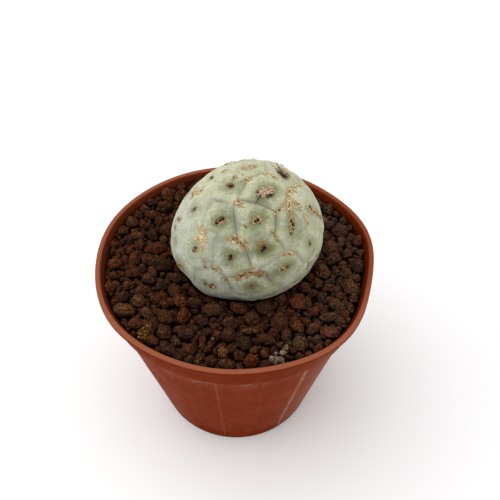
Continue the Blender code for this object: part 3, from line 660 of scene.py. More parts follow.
# Dark fissures in the scars: from, to, and width in millimetres.
FISSURES = (
    ((-108, 36), (-105, 36), 0.40), ((-101, 35), (-97, 33), 0.42), ((-99, 4), (-95, 7), 0.30),
    ((-92, 9), (-87, 10), 0.34), ((-86, 6), (-80, 5), 0.26), ((-113, 63), (-110, 63), 0.30),
    ((-33, 55), (-36, 53), 0.18), ((-40, 51), (-43, 49), 0.18), ((-50, 55), (-54, 54), 0.14),
    ((-68, 41), (-67, 39), 0.18), ((-59, 21), (-56, 20), 0.16), ((-120, 7), (-118, 8), 0.22),
    ((-40, -2), (-37, -2), 0.18), ((-171, 77), (-169, 77), 0.20),
)
# Dents in the skin, and one bulge: longitude, latitude, depth and reach in millimetres.
DENTS = (
    (-156, -26, 1.6, 3.4), (-106, -38, 1.3, 3.4), (-30, -12, 0.5, 2.5), (-178, 60, 0.4, 3.0),
    (-152, -11, -0.55, 2.0),
)
SHRUNK = 0.00018
# Patches of painted grey shade between the tubercles, and olive stains: longitude, latitude, radius in
# millimetres; strength.
SHADE_PATCHES = (
    (-122, 29, 2.6, 0.95), (-115, 35, 2.2, 0.85), (-111, 51, 1.6, 0.85), (-107, 44, 1.6, 0.85),
    (-82, 40, 2.0, 0.85), (-90, 37, 1.8, 0.75), (-94, 24, 1.6, 0.75), (-65, 26, 2.2, 0.65),
    (-149, 51, 1.6, 0.45), (-134, 57, 1.7, 0.55), (-115, 74, 1.6, 0.50), (-123, 13, 2.2, 0.55),
    (-149, 26, 2.0, 0.30), (-74, 7, 1.8, 0.55), (-99, -13, 2.2, 0.45), (-41, 35, 2.2, 0.60),
    (-54, 27, 1.8, 0.40), (60, 20, 3.0, 0.50), (120, 35, 3.0, 0.40), (20, 5, 2.6, 0.50),
)
STAINS = (
    (-151, -12, 2.3, 1.5), (-158, -22, 2.2, 1.2), (-139, -30, 2.6, 1.0), (-130, -34, 2.0, 1.0),
    (-162, 6, 1.3, 0.8), (-128, 10, 1.2, 0.9), (-84, 33, 1.0, 0.9),
)


def direction(longitude, latitude):
    """Unit vector for a longitude and latitude in degrees."""
    lon, lat = math.radians(longitude), math.radians(latitude)
    return np.array((math.cos(lat) * math.cos(lon), math.cos(lat) * math.sin(lon), math.sin(lat)))


def unit(vectors):
    """Vectors scaled to length one."""
    return vectors / np.linalg.norm(vectors, axis=-1, keepdims=True)


def egg_axes():
    """Rows are the egg's own three axes in world directions."""
    about_y = Matrix.Rotation(math.radians(EGG_TILT), 3, "Y")
    about_x = Matrix.Rotation(math.radians(EGG_ROLL), 3, "X")
    return np.array(about_y @ about_x).T


EGG_AXES = egg_axes()


def egg_radius(directions):
    """Distance from the egg's centre to its plain surface along unit directions."""
    own = np.asarray(directions) @ EGG_AXES.T
    plain = 1.0 / np.sqrt(((own / np.array(EGG_RADII)) ** 2).sum(axis=-1))
    return plain * (1.0 - EGG_TAPER * own[..., 2] ** 3)


def egg_foot():
    """Lowest point of the plain egg."""
    low = [direction(lon, lat) for lon in range(-180, 180, 6) for lat in range(-90, -50, 2)]
    points = EGG_CENTRE + np.array(low) * egg_radius(np.array(low))[:, None]
    return points[np.argmin(points[:, 2])]


def lift(directions, heights):
    """Points on the egg, raised by heights that fade out below the gravel."""
    points = EGG_CENTRE + directions * egg_radius(directions)[..., None]
    shown = np.clip((points[..., 2] - RELIEF_FOOT) / RELIEF_FADE, 0.0, 1.0)
    return points + directions * (heights * shown)[..., None]


def grain(points, size, seed=0):
    """Smooth seeded noise from -1 to 1, with grains of a given size in metres."""
    place = np.asarray(points) / size + 17.3 * (seed + 1)
    cell = np.floor(place).astype(np.int64)
    part = place - cell
    part = part * part * (3.0 - 2.0 * part)
    total = np.zeros(place.shape[:-1])
    for corner in itertools.product((0, 1), repeat=3):
        key = ((cell + corner) * (7919, 104729, 1299709)).sum(axis=-1) & 0xFFFFFF
        key = (key ^ (key >> 11)) * 48271 & 0xFFFFFF
        key = (key ^ (key >> 7)) * 69621 & 0xFFFFFF
        weight = np.prod(np.where(corner, part, 1.0 - part), axis=-1)
        total += weight * (key / 0x7FFFFF - 1.0)
    return total


def step_up(low, high, values):
    """Smooth step from 0 at low to 1 at high."""
    share = np.clip((values - low) / (high - low), 0.0, 1.0)
    return share * share * (3.0 - 2.0 * share)


def areole_sites():
    """Directions of the areoles: the measured ones, the root, and the rest spread evenly."""
    fixed = [direction(lon, lat) for lon, lat, *_ in AREOLES] + [unit(egg_foot() - EGG_CENTRE)]
    golden = math.pi * (3.0 - math.sqrt(5.0))
    loose = []
    for k in range(CELL_COUNT):
        z = 1.0 - 2.0 * (k + 0.5) / CELL_COUNT
        r = math.sqrt(1.0 - z * z)
        loose.append((r * math.cos(k * golden), r * math.sin(k * golden), z))
    loose = np.array(loose)
    for site in fixed:
        loose = np.delete(loose, np.argmax(loose @ site), axis=0)
    fixed = np.array(fixed)
    for _ in range(SPREAD_ROUNDS):
        everything = np.vstack((fixed, loose))
        apart = loose[:, None, :] - everything[None, :, :]
        distance = np.linalg.norm(apart, axis=2)
        distance[distance == 0.0] = math.inf
        loose = loose + SPREAD_PUSH * (apart / distance[..., None] ** 4).sum(axis=1)
        loose /= np.linalg.norm(loose, axis=1)[:, None]
    loose = np.delete(loose, np.argmax(loose @ direction(*SPARE_SITE)), axis=0)
    return np.vstack((fixed, loose))


SITES = areole_sites()


def tangent_frame(site):
    """Level east and upward north at a direction on the egg."""
    east = unit(np.cross((0.0, 0.0, 1.0), site))
    return east, np.cross(site, east)


def turned(turn, first, second):
    """What lies at a turn from a first way towards a second."""
    return math.cos(turn) * first + math.sin(turn) * second


def shown_areoles():
    """Numbers and directions of the areoles above the gravel, without the overgrown one."""
    scarred = np.argmax(SITES @ direction(*SCARRED_TUBERCLE))
    heights = EGG_CENTRE[2] + SITES[:, 2] * egg_radius(SITES)
    return [(index, site) for index, site in enumerate(SITES)
            if index not in (ROOT_CELL, scarred) and heights[index] >= RELIEF_FOOT]


def pit_places():
    """Direction and radius in millimetres of every pit: the measured ones, then one by draw each."""
    draw = random.Random(PIT_SEED)
    pits = [(direction(lon, lat), size) for lon, lat, size in PITS]
    for index, site in shown_areoles():
        if index > ROOT_CELL:
            east, north = tangent_frame(site)
            shift = draw.uniform(-PIT_SHIFT, PIT_SHIFT) * east + draw.uniform(-PIT_SHIFT, PIT_SHIFT) * north
            pits.append((unit(site + shift), draw.uniform(*PIT_SIZES)))
    return pits


ALL_PITS = pit_places()


def apart_mm(directions, middle):
    """Distance over the skin from each direction to a middle, in millimetres."""
    return 1000.0 * EGG_RADII[0] * np.linalg.norm(directions - middle, axis=1)


def pit_shares(directions):
    """How far each direction lies from the nearest pit, in shares of that pit's radius."""
    return np.min([apart_mm(directions, middle) / size for middle, size in ALL_PITS] + [
        np.full(len(directions), NO_AREOLE)], axis=0)


def spot(directions, lon, lat, size):
    """Soft round spot of a radius in millimetres: 1 at its middle, and fading outwards."""
    return np.exp(-(apart_mm(directions, direction(lon, lat)) / size) ** 2)


def patch_nearness(directions, patches):
    """How deep in a patch of a table each direction lies, from 0 to 1."""
    spots = [strength * spot(directions, lon, lat, size) for lon, lat, size, strength in patches]
    return np.minimum(np.max(spots, axis=0), 1.0)


def dents(directions):
    """How deep the skin is dented, in metres."""
    return sum(0.001 * deep * spot(directions, lon, lat, size) for lon, lat, deep, size in DENTS)


def tubercle_corners():
    """Where three tubercles meet, and for each areole its corners in order round it."""
    hull = bmesh.new()
    points = [hull.verts.new(site * TUBERCLE_SCALE.get(index, 1.0)) for index, site in enumerate(SITES)]
    bmesh.ops.convex_hull(hull, input=points)
    hull.faces.ensure_lookup_table()
    hull.faces.index_update()
    hull.normal_update()
    corners = []
    for face in hull.faces:
        outward = 1.0 if face.normal.dot(face.calc_center_median()) > 0.0 else -1.0
        corners.append(outward * np.array(face.normal))
    cells = []
    for point, site in zip(points, SITES):
        east, north = tangent_frame(site)
        around = [(math.atan2(corners[f.index] @ north, corners[f.index] @ east), f.index)
                  for f in point.link_faces]
        cells.append([index for _, index in sorted(around)])
    hull.free()
    return corners, cells


def groove_line(corners, a, b):
    """Directions along the crease from one corner to just before the next, bent a little."""
    low, high = (a, b) if a < b else (b, a)
    length = np.linalg.norm(corners[high] - corners[low]) * EGG_RADII[0]
    steps = max(2, round(length / EDGE_STEP))
    straight = np.array([part_way(corners[low], corners[high], k / steps) for k in range(steps + 1)])
    shift = np.sin(np.column_stack((9.0 * straight[:, 1] + 2.0, 8.0 * straight[:, 2] + 1.0,
                                    10.0 * straight[:, 0])))
    line = unit(straight + GROOVE_BEND * shift)
    if a > b:
        line = line[::-1]
    return line[:-1]


def crease_firmness(corners, cells):
    """How firm the crease is between each two corners, and on average at each corner."""
    sides = {}
    for index, cell in enumerate(cells):
        for a, b in zip(cell, cell[1:] + cell[:1]):
            sides.setdefault(frozenset((a, b)), []).append(index)
    smooth = direction(*SMOOTH_SIDE)
    firmness, meeting = {}, {}
    for pair, pieces in sides.items():
        pieces = tuple(sorted(pieces))
        a, b = sorted(pair)
        middle = unit(corners[a] + corners[b])
        by_draw = random.Random(100 * pieces[0] + pieces[-1]).uniform(*OTHER_CREASES)
        worn = math.exp(-(np.linalg.norm(middle - smooth) / SMOOTH_REACH) ** 2)
        firmness[pair] = CREASES.get(pieces, by_draw * (1.0 - 0.85 * worn))
        for corner in pair:
            meeting.setdefault(corner, []).append(firmness[pair])
    return firmness, {corner: sum(values) / len(values) for corner, values in meeting.items()}


def look_of(index):
    """Looks of an areole: of the measured ones their own, of the others the plain one."""
    return AREOLE_LOOKS[index] if index < len(AREOLE_LOOKS) else PLAIN_LOOK


def areole_rim(site, edge, index):
    """Offsets from a tubercle's middle to the rim of its oval areole, towards its edge points."""
    east, north = tangent_frame(site)
    length, width, turn = AREOLES[index][2:] if index < len(AREOLES) else PLAIN_AREOLE
    turn = math.radians(turn)
    own = np.arctan2(edge @ north, edge @ east) - turn
    scale = 0.0005 / float(egg_radius(site))
    along, across = scale * length * np.cos(own), scale * width * np.sin(own)
    return (np.outer(along * math.cos(turn) - across * math.sin(turn), east)
            + np.outer(along * math.sin(turn) + across * math.cos(turn), north))


def back_scars():
    """Seeded scars at tubercle corners on the side turned away from the front."""
    draw = random.Random(SCAR_SEED)
    scars = []
    while len(scars) < BACK_SCARS:
        lon, lat = draw.uniform(*BACK_LONGITUDES), draw.uniform(*BACK_LATITUDES)
        turn = draw.uniform(0.0, math.pi)
        reach = draw.uniform(*BACK_LENGTHS)
        end = (lon + reach * math.cos(turn) / math.cos(math.radians(lat)), lat + reach * math.sin(turn))
        width = draw.uniform(0.8, 2.2)
        scars.append((width, draw.random(), int(3 + 3 * width * reach / 6.0), ((lon, lat), end)))
    return scars


ALL_SCARS = SCARS + tuple(back_scars())


def scar_nearness(directions):
    """How deep in a scar each direction lies, 1 on its line and 0 beside it, and how brown it is."""
    nearness, browns = np.zeros(len(directions)), np.zeros(len(directions))
    for width, brown, _, line in ALL_SCARS:
        ends = [direction(lon, lat) for lon, lat in line]
        for a, b in zip(ends, ends[1:]):
            share = np.clip((directions - a) @ (b - a) / ((b - a) @ (b - a)), 0.0, 1.0)
            apart = np.linalg.norm(directions - a - share[:, None] * (b - a), axis=1)
            near = 1.0 - 1000.0 * EGG_RADII[0] * apart / width
            browns = np.where(near > nearness, brown, browns)
            nearness = np.maximum(nearness, near)
    return nearness, browns


# Rings of a tubercle: shares of the way from its crease to the shoulder round its areole, then
# shares of the areole's rim. The shoulder is a share of the rim too.
CREASE_SHARES = (0.025, 0.06, 0.10, 0.15, 0.21, 0.28, 0.36, 0.45, 0.54, 0.63, 0.72, 0.80, 0.87, 0.94, 1.0)
AREOLE_SHARES = (1.12, 1.02, 0.92, 0.82, 0.70, 0.55, 0.38, 0.20)
SHOULDER = 1.25


class Skin:
    """Directions of the skin's points, the numbers kept for each point, and the faces."""

    def __init__(self):
        self.points, self.facts, self.faces, self.creased = [], [], [], {}

    def add(self, ring, inward, firm, rim_share, beyond, look=(0.0, 0.0, 0.5)):
        """Add points with their distance in from the crease, its firmness, their share of the
        areole's rim and distance out of it, and how tufted, green and pale the areole is."""
        start = len(self.points)
        values = (inward, firm, rim_share, beyond, *look)
        self.points.extend(ring)
        self.facts.extend(np.column_stack([np.broadcast_to(value, len(ring)) for value in values]))
        return list(range(start, start + len(ring)))

    def add_crease(self, edge, firm):
        """Points along a crease, which the tubercle on its other side shares."""
        ring = []
        for u, value in zip(edge, firm):
            key = tuple(np.round(u, 6))
            if key not in self.creased:
                self.creased[key] = self.add([u], 0.0, value, NO_AREOLE, NO_AREOLE)[0]
            ring.append(self.creased[key])
        return ring

    def band(self, outer, inner):
        """Faces between two rings; gives back the inner one."""
        for i in range(len(outer)):
            j = (i + 1) % len(outer)
            self.faces.append((outer[i], outer[j], inner[j], inner[i]))
        return inner

    def fan(self, ring, middle):
        """Faces from a ring to its middle."""
        self.faces += [(ring[i], ring[(i + 1) % len(ring)], middle[0]) for i in range(len(ring))]

    def add_tubercle(self, index, site, edge, firm, ring, bare):
        """Rings from the crease in to the middle of the areole."""
        look = (1.0 if index == TUFT_AREOLE else 0.0, *look_of(index)[:2])
        rim = areole_rim(site, edge, index)
        span = 1000.0 * egg_radius(site) * np.linalg.norm(edge - site - SHOULDER * rim, axis=1)
        rim_mm = 1000.0 * egg_radius(site) * np.linalg.norm(rim, axis=1)
        for share in CREASE_SHARES:
            offset = (1.0 - share) * (edge - site) + share * SHOULDER * rim
            beyond = (1.0 - share) * span + (SHOULDER - 1.0) * rim_mm + bare
            inner = self.add(unit(site + offset), share * span, firm, 1.0 + beyond / rim_mm, beyond, look)
            ring = self.band(ring, inner)
        for share in AREOLE_SHARES:
            beyond = np.maximum(0.0, share - 1.0) * rim_mm + bare
            ring = self.band(ring, self.add(unit(site + share * rim), span, firm, share + bare, beyond, look))
        self.fan(ring, self.add([site], float(span.mean()), float(firm.mean()), bare, bare, look))


def crease_round(cell, corners, firmness, meeting):
    """Directions along the crease round a tubercle, and how firm it is at each."""
    lines, firm = [], []
    for a, b in zip(cell, cell[1:] + cell[:1]):
        line = groove_line(corners, a, b)
        along = np.arange(len(line)) / len(line)
        ends = part_way(meeting[a], meeting[b], along)
        lines.append(line)
        firm.append(part_way(ends, firmness[frozenset((a, b))], np.sqrt(np.sin(math.pi * along))))
    return np.vstack(lines), np.concatenate(firm)


def skin_mesh():
    """The whole skin: tubercles with rings above the gravel, and plain ones below it."""
    skin = Skin()
    shown = [index for index, _ in shown_areoles()]
    corners, cells = tubercle_corners()
    firmness, meeting = crease_firmness(corners, cells)
    for index, (site, cell) in enumerate(zip(SITES, cells)):
        edge, firm = crease_round(cell, corners, firmness, meeting)
        ring = skin.add_crease(edge, firm)
        if index == ROOT_CELL or EGG_CENTRE[2] + site[2] * egg_radius(site) < RELIEF_FOOT:
            skin.fan(ring, skin.add([site], NO_AREOLE, 0.0, NO_AREOLE, NO_AREOLE))
        else:
            skin.add_tubercle(index, site, edge, firm, ring, 0.0 if index in shown else NO_AREOLE)
    return np.array(skin.points), np.array(skin.facts), skin.faces


def crease_lines(points, inward, firm):
    """Fine crease at the foot of each valley, worn away in places, from 0 to 1."""
    worn = step_up(-0.30, 0.38, grain(points, CREASE_GRAIN, 9))
    least = 0.12 + 0.55 * step_up(0.72, 0.95, firm)
    return (least + (1.0 - least) * worn) * firm * np.exp(-inward / CREASE_MM)


def skin_heights(points, valley, crease, dome, rim_share, areole_mm, tuft, pit, scar):
    """Relief of the skin over the plain egg, in metres."""
    lumps = sum(high * grain(points, size, seed) for size, seed, high in SKIN_LUMPS) - SHRUNK
    folds = -GROOVE_DEPTH * (0.60 * valley + 0.40 * crease) + DOME_HEIGHT * dome
    dip = -AREOLE_DIP * np.exp(-(areole_mm / DIP_MM) ** 2) * (1.0 - tuft)
    lip = AREOLE_LIP * np.exp(-((rim_share - 1.08) / 0.20) ** 2) * (1.0 + grain(points, 0.0009, 7))
    hollow = -PIT_DEPTH * (1.0 - step_up(0.30, 1.15, pit)) * (1.0 - tuft)
    cushion = tuft * TUFT_RISE * (1.0 - step_up(0.1, 1.15, rim_share))
    rough = AREOLE_ROUGHNESS * grain(points, CRUST_GRAIN, 3) * np.clip(1.35 - rim_share, 0.0, 1.0)
    cork = (CORK_HEIGHT + CORK_ROUGHNESS * grain(points, CRUST_GRAIN, 4)) * step_up(0.35, 0.75, scar)
    return lumps + folds + dip + lip + hollow + cushion + rough + cork


# The side turned to the upper right is yellower: direction, and where along it in metres.
WARM_WAY = (0.8, 0.0, 0.6)
WARM_SPAN = (0.030, 0.066)


def lay_bloom(skin, patches, fine):
    """Grey-green with a mottled bloom, cooler low on the left and yellower high on the right, with a painted
    highlight over the top.
    """
    broad = skin.fade(skin.cloud(8.0), 0.3, 0.7, -0.35, 0.35)
    warm = skin.plus(skin.fade(skin.along(WARM_WAY), *WARM_SPAN), broad)
    skin.coat((0.472, 0.480, 0.268), warm, 0.0, 1.0)
    drifts = skin.cloud(5.0, 2.0, 0.5)
    skin.coat((0.560, 0.585, 0.470), drifts, 0.50, 0.68, 0.0, 0.45)
    skin.coat((0.285, 0.305, 0.215), drifts, 0.32, 0.48, 0.38, 0.0)
    # Painted highlight over the top of the cactus.
    skin.coat((0.680, 0.670, 0.465), skin.axis("Z"), 0.087, 0.096, 0.0, 0.40)
    skin.coat((0.545, 0.552, 0.435), patches, 0.45, 0.68, 0.0, 0.60)
    skin.coat((0.290, 0.320, 0.225), patches, 0.28, 0.46, 0.42, 0.0)
    skin.coat((0.66, 0.66, 0.54), fine, 0.52, 0.68, 0.0, 0.50)
    skin.coat((0.245, 0.265, 0.180), fine, 0.30, 0.48, 0.42, 0.0)


def skin_finish():
    """Waxy pale grey-green, greener round the areoles, with painted blue-grey shade in the valleys and
    painted dark shade along the creases, tan at scars.
    """
    skin = Finish("waxy_skin", (0.402, 0.430, 0.328), 0.58, Subsurface_Weight=0.06,
                  Subsurface_Scale=0.0012, Subsurface_Radius=(0.8, 1.0, 0.5), Sheen_Weight=0.10,
                  Sheen_Roughness=0.5, Specular_IOR_Level=0.30)
    valley, crease, apart, green, pale, rim, pit, scar, brown, stain, painted_shade = map(skin.layer, (
        "valley", "crease", "apart", "green", "pale", "rim", "pit", "scar", "brown", "stain", "painted_shade"))
    patches, fine = skin.cloud(2.4, 5.0, 0.65), skin.cloud(0.60, 3.0, 0.6)
    ragged, crumbs = skin.cloud(0.75, 4.0, 0.7), skin.cloud(0.42, 3.0, 0.7)
    lay_bloom(skin, patches, fine)
    # Patches of painted grey shade.
    skin.coat((0.245, 0.268, 0.200), skin.times(painted_shade, skin.fade(patches, 0.30, 0.65, 0.95, 0.55)))
    # Painted blue-grey shade in the valleys, and painted dark shade along the fine creases.
    shade_patchiness = skin.fade(skin.cloud(3.2), 0.33, 0.60, 0.30, 0.92)
    skin.coat((0.242, 0.262, 0.182), skin.times(valley, shade_patchiness))
    skin.coat((0.085, 0.088, 0.050), skin.times(crease, 0.95))
    uneven = skin.plus(apart, skin.fade(patches, 0.2, 0.8, -0.9, 0.9))
    skin.coat((0.125, 0.146, 0.048), skin.times(skin.fade(uneven, -0.3, 3.8, 0.92, 0.0), green))
    skin.coat((0.185, 0.165, 0.042), skin.times(stain, skin.fade(ragged, 0.30, 0.65, 0.50, 1.0)))
    stained = skin.plus(scar, skin.fade(ragged, 0.25, 0.75, -0.50, 0.50))
    broken = skin.plus(stained, skin.fade(crumbs, 0.25, 0.75, -0.30, 0.30))
    rusty = skin.mix(brown, (0.300, 0.182, 0.052), (0.130, 0.066, 0.020))
    skin.coat(rusty, broken, 0.30, 0.58, 0.0, 0.75)
    mealy = skin.plus(broken, skin.fade(crumbs, 0.35, 0.65, -0.25, 0.25))
    tan = skin.mix(brown, (0.55, 0.42, 0.165), (0.37, 0.220, 0.090))
    skin.coat(tan, mealy, 0.62, 0.90, 0.0, 0.75)
    crust = skin.plus(rim, skin.fade(ragged, 0.2, 0.8, -0.40, 0.40))
    skin.coat((0.155, 0.115, 0.045), crust, 0.90, 1.35, 0.75, 0.0)
    flecked = skin.plus(crumbs, skin.times(pale, 0.26))
    dry = skin.mix(skin.fade(flecked, 0.58, 0.74), (0.120, 0.068, 0.024), (0.56, 0.38, 0.19))
    skin.coat(dry, crust, 0.78, 1.00, 1.0, 0.0)
    # Pits: dark brown, and nearly black at the middle as painted shade in the hollow.
    hollow = skin.plus(pit, skin.fade(crumbs, 0.25, 0.75, -0.60, 0.50))
    skin.coat((0.085, 0.045, 0.018), hollow, 0.95, 1.60, 0.75, 0.0)
    skin.coat((0.018, 0.011, 0.006), hollow, 0.50, 1.00, 1.0, 0.0)
    skin.coat((0.085, 0.075, 0.040), skin.cloud(0.8, 1.0, 0.4), 0.735, 0.770, 0.0, 0.80)
    roughness = skin.fade(patches, 0.3, 0.7, 0.50, 0.68)
    return skin.close((fine, 0.05), (patches, 0.16), roughness=roughness)


ROOT_SIDES = 24
# What the skin's numbers are on the root: bare brown cork, far from any areole.
ROOT_LOOK = {"apart": NO_AREOLE, "rim": NO_AREOLE, "pit": NO_AREOLE, "scar": 1.0, "brown": 1.0}


def root_shell(start):
    """The tapered root below the egg; its faces count from a given number."""
    foot = egg_foot()
    rings = [level_ring(share * ROOT_RADIUS, turns(ROOT_SIDES), height, foot) for share, height in (
        (1.0, foot[2] + 0.0004), (0.75, foot[2] - ROOT_NECK), (ROOT_TAPER, ROOT_TIP))]
    return np.vstack(rings), tube_faces(len(rings), ROOT_SIDES, start, closed=True)


def make_cactus():
    """The egg with its relief and its root, and the numbers that its colours follow."""
    directions, facts, faces = skin_mesh()
    inward, firm, rim_share, areole_mm, tuft, green, pale = facts.T
    plain = EGG_CENTRE + directions * egg_radius(directions)[:, None]
    valley, crease = firm * np.exp(-(inward / VALLEY_MM) ** 2), crease_lines(plain, inward, firm)
    dome = 1.0 - firm * (1.0 - step_up(0.0, DOME_MM, inward))
    pit, (scar, brown) = pit_shares(directions), scar_nearness(directions)
    heights = skin_heights(plain, valley, crease, dome, rim_share, areole_mm, tuft, pit, scar)
    heights -= dents(directions)
    root, root_faces = root_shell(len(directions))
    cactus = new_piece("cactus_body", np.vstack((lift(directions, heights), root)), faces + root_faces,
                       skin_finish())
    layers = {"valley": valley, "crease": crease, "apart": areole_mm, "green": green, "pale": pale,
              "rim": rim_share, "pit": pit, "scar": scar, "brown": brown,
              "stain": patch_nearness(directions, STAINS), "painted_shade": patch_nearness(directions, SHADE_PATCHES)}
    for name, values in layers.items():
        add_layer(cactus, name, np.append(values, np.full(len(root), ROOT_LOOK.get(name, 0.0))))
    return cactus


cactus = make_cactus()
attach(cactus, "root")
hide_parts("cactus")


# Cork flakes. Old wounds on the skin have dried into thin plates of tan cork, cracked apart
# along each scar, and pale scales lie round the areoles. They grow from the skin and lie on it.

PLATE_SEED = 12
SCALE_SEED = 800
FLAKE_SIDES = 10
# Rings of a flake: share of its reach, and height in thicknesses.
FLAKE_RINGS = ((1.0, -0.5), (0.84, 0.45), (0.45, 1.0))

skin_tree = BVHTree.FromObject(cactus, bpy.context.evaluated_depsgraph_get())


def skin_reach(u):
    """Distance from the egg's centre to the finished skin along a direction."""
    start = Vector(EGG_CENTRE + u * 2.0 * max(EGG_RADII))
    hit = skin_tree.ray_cast(start, Vector(-u))[0]
    return (hit - Vector(EGG_CENTRE)).length if hit else float(egg_radius(u))


def add_plate(bag, u, long_way, length, breadth, thick, tone, draw):
    """One low ragged plate on the skin, of a length and breadth in metres."""
    points, tones, faces = bag
    wide_way = np.cross(u, long_way)
    start = len(points)
    for share, level in FLAKE_RINGS:
        for side in range(FLAKE_SIDES):
            angle = 2.0 * math.pi * side / FLAKE_SIDES
            ragged = share * draw.uniform(0.76, 1.20)
            offset = ragged * turned(angle, length * long_way, breadth * wide_way)
            way = unit(u + offset / EGG_RADII[0])
            rise = thick * (level + draw.uniform(-0.15, 0.15))
            points.append(EGG_CENTRE + way * (skin_reach(way) + rise))
    reach = skin_reach(u)
    points += [EGG_CENTRE + u * (reach + thick), EGG_CENTRE + u * (reach - thick)]
    tones += [tone] * (FLAKE_SIDES * len(FLAKE_RINGS) + 2)
    faces += tube_faces(len(FLAKE_RINGS), FLAKE_SIDES, start)
    top = start + FLAKE_SIDES * (len(FLAKE_RINGS) - 1)
    for i in range(FLAKE_SIDES):
        j = (i + 1) % FLAKE_SIDES
        faces.append((top + i, top + j, len(points) - 2))
        faces.append((start + j, start + i, len(points) - 1))


def along_line(line, share):
    """Direction at a share of the way along a scar, and the way that the scar runs there."""
    ends = [direction(lon, lat) for lon, lat in line]
    place = min(share, 0.9999) * (len(ends) - 1)
    a, b = ends[int(place)], ends[int(place) + 1]
    return unit(part_way(a, b, place % 1.0)), unit(b - a)


def askew(u, run, draw):
    """A way over the skin that turns off a run by a draw."""
    return unit(turned(draw.gauss(0.0, 0.5), run, np.cross(u, run)))


def scar_plates(bag):
    """Pale and brown plates and dark fissures along every scar, most of them along its run."""
    draw = random.Random(PLATE_SEED)
    for width, brown, count, line in ALL_SCARS:
        for _ in range(count):
            u, run = along_line(line, draw.random())
            aside = draw.uniform(-0.40, 0.40) * width
            shift = 0.001 * (aside * np.cross(u, run) + draw.uniform(-0.3, 0.3) * run) / EGG_RADII[0]
            long_way = askew(u, run, draw)
            length = 0.001 * draw.uniform(0.24, 0.60) * min(0.7 + 0.2 * width, 1.2)
            tone = draw.uniform(0.35, 0.65) if draw.random() < brown else draw.uniform(0.0, 0.20)
            add_plate(bag, unit(u + shift), long_way, length, length * draw.uniform(0.22, 0.46),
                      0.001 * draw.uniform(0.05, 0.15), tone, draw)
        for _ in range(round(0.45 * count * (0.12 + brown))):
            u, run = along_line(line, draw.random())
            shift = 0.001 * draw.uniform(-0.30, 0.30) * width * np.cross(u, run) / EGG_RADII[0]
            long_way = askew(u, run, draw)
            length = 0.001 * draw.uniform(0.30, 0.60)
            add_plate(bag, unit(u + shift), long_way, length, 0.001 * draw.uniform(0.07, 0.13), 0.00013,
                      draw.uniform(0.8, 1.0), draw)
    for first, last, width in FISSURES:
        a, b = direction(*first), direction(*last)
        length = 0.55 * EGG_RADII[0] * np.linalg.norm(b - a)
        add_plate(bag, unit(a + b), unit(b - a), length, 0.0005 * width, 0.00014, 1.0, draw)


def rim_by_draw(index, site, draw):
    """Offset from the middle of an areole to its rim, in a direction by draw."""
    east, north = tangent_frame(site)
    edge = unit(site + 0.1 * turned(draw.uniform(0.0, 2.0 * math.pi), east, north))
    return areole_rim(site, edge[None, :], index)[0]


def areole_plates(bag):
    """Pale scales of dried skin round the pits of the areoles."""
    for index, site in shown_areoles():
        draw = random.Random(SCALE_SEED + index)
        _, pale, _, _, count = look_of(index)
        east, north = tangent_frame(site)
        for _ in range(round(0.7 * count)):
            rim = rim_by_draw(index, site, draw)
            u = unit(site + math.sqrt(draw.uniform(0.30, 1.10)) * rim)
            turn = draw.uniform(0.0, math.pi)
            length = 0.001 * draw.uniform(0.13, 0.28)
            tone = min(0.7, max(0.0, draw.gauss(0.6 - 0.6 * pale, 0.20)))
            if pit_shares(u[None, :])[0] > 1.0:
                add_plate(bag, u, unit(turned(turn, east, north)), length,
                          length * draw.uniform(0.30, 0.60), 0.001 * draw.uniform(0.06, 0.16), tone, draw)


def cork_finish():
    """Cream through pinkish tan and orange brown to the nearly black of the cracks."""
    cork = Finish("dry_cork", None, 0.80, Specular_IOR_Level=0.25)
    tone, fine = cork.layer("tone"), cork.cloud(0.35, 5.0, 0.7)
    cork.colour = cork.mix(cork.fade(fine, 0.36, 0.60), (0.56, 0.385, 0.180), (0.92, 0.790, 0.500))
    brown = cork.mix(cork.fade(fine, 0.40, 0.62), (0.15, 0.072, 0.024), (0.38, 0.22, 0.09))
    cork.coat(brown, tone, 0.0, 0.6)
    cork.coat((0.062, 0.034, 0.015), tone, 0.65, 0.9)
    return cork.close((fine, 0.05))


plates = ([], [], [])
scar_plates(plates)
areole_plates(plates)
flakes = new_piece("cork_flakes", plates[0], plates[2], cork_finish())
add_layer(flakes, "tone", plates[1])
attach(flakes, "root")
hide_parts("cactus")


# Areole wool. Each areole holds a few short brown to cream hairs and barbed bristles, rooted
# round its pit. The one nearest the tip has grown into a large dry tuft.

WOOL_SEED = 300
WOOL_SIDES = 3
WOOL_STEPS = 3
WOOL_SUNK = 0.00005
HAIR_RADIUS = 0.000070
BRISTLE_RADIUS = 0.000165


def add_hair(bag, start, way, length, radius, draw, curl=0.5, sides=WOOL_SIDES, steps=WOOL_STEPS):
    """One tapered bent hair or spine: rings along a curve, a flat foot and a point."""
    points, faces = bag
    way = unit(np.asarray(way, dtype=float))
    side_way = unit(np.cross(way, (draw.uniform(-1, 1), draw.uniform(-1, 1), draw.uniform(-1, 1))))
    third_way = np.cross(way, side_way)
    bow = curl * draw.uniform(0.4, 1.0)
    first = len(points)
    for step in range(steps):
        share = step / steps
        middle = start + length * (share * way + bow * share * share * side_way)
        thin = radius * (1.0 - 0.75 * share)
        for side in range(sides):
            angle = 2.0 * math.pi * side / sides
            points.append(middle + thin * turned(angle, side_way, third_way))
    points.append(start + length * (way + bow * side_way))
    faces += tube_faces(steps, sides, first)
    faces.append(tuple(first + side for side in range(sides)))
    last = first + (steps - 1) * sides
    for side in range(sides):
        faces.append((last + side, last + (side + 1) % sides, len(points) - 1))


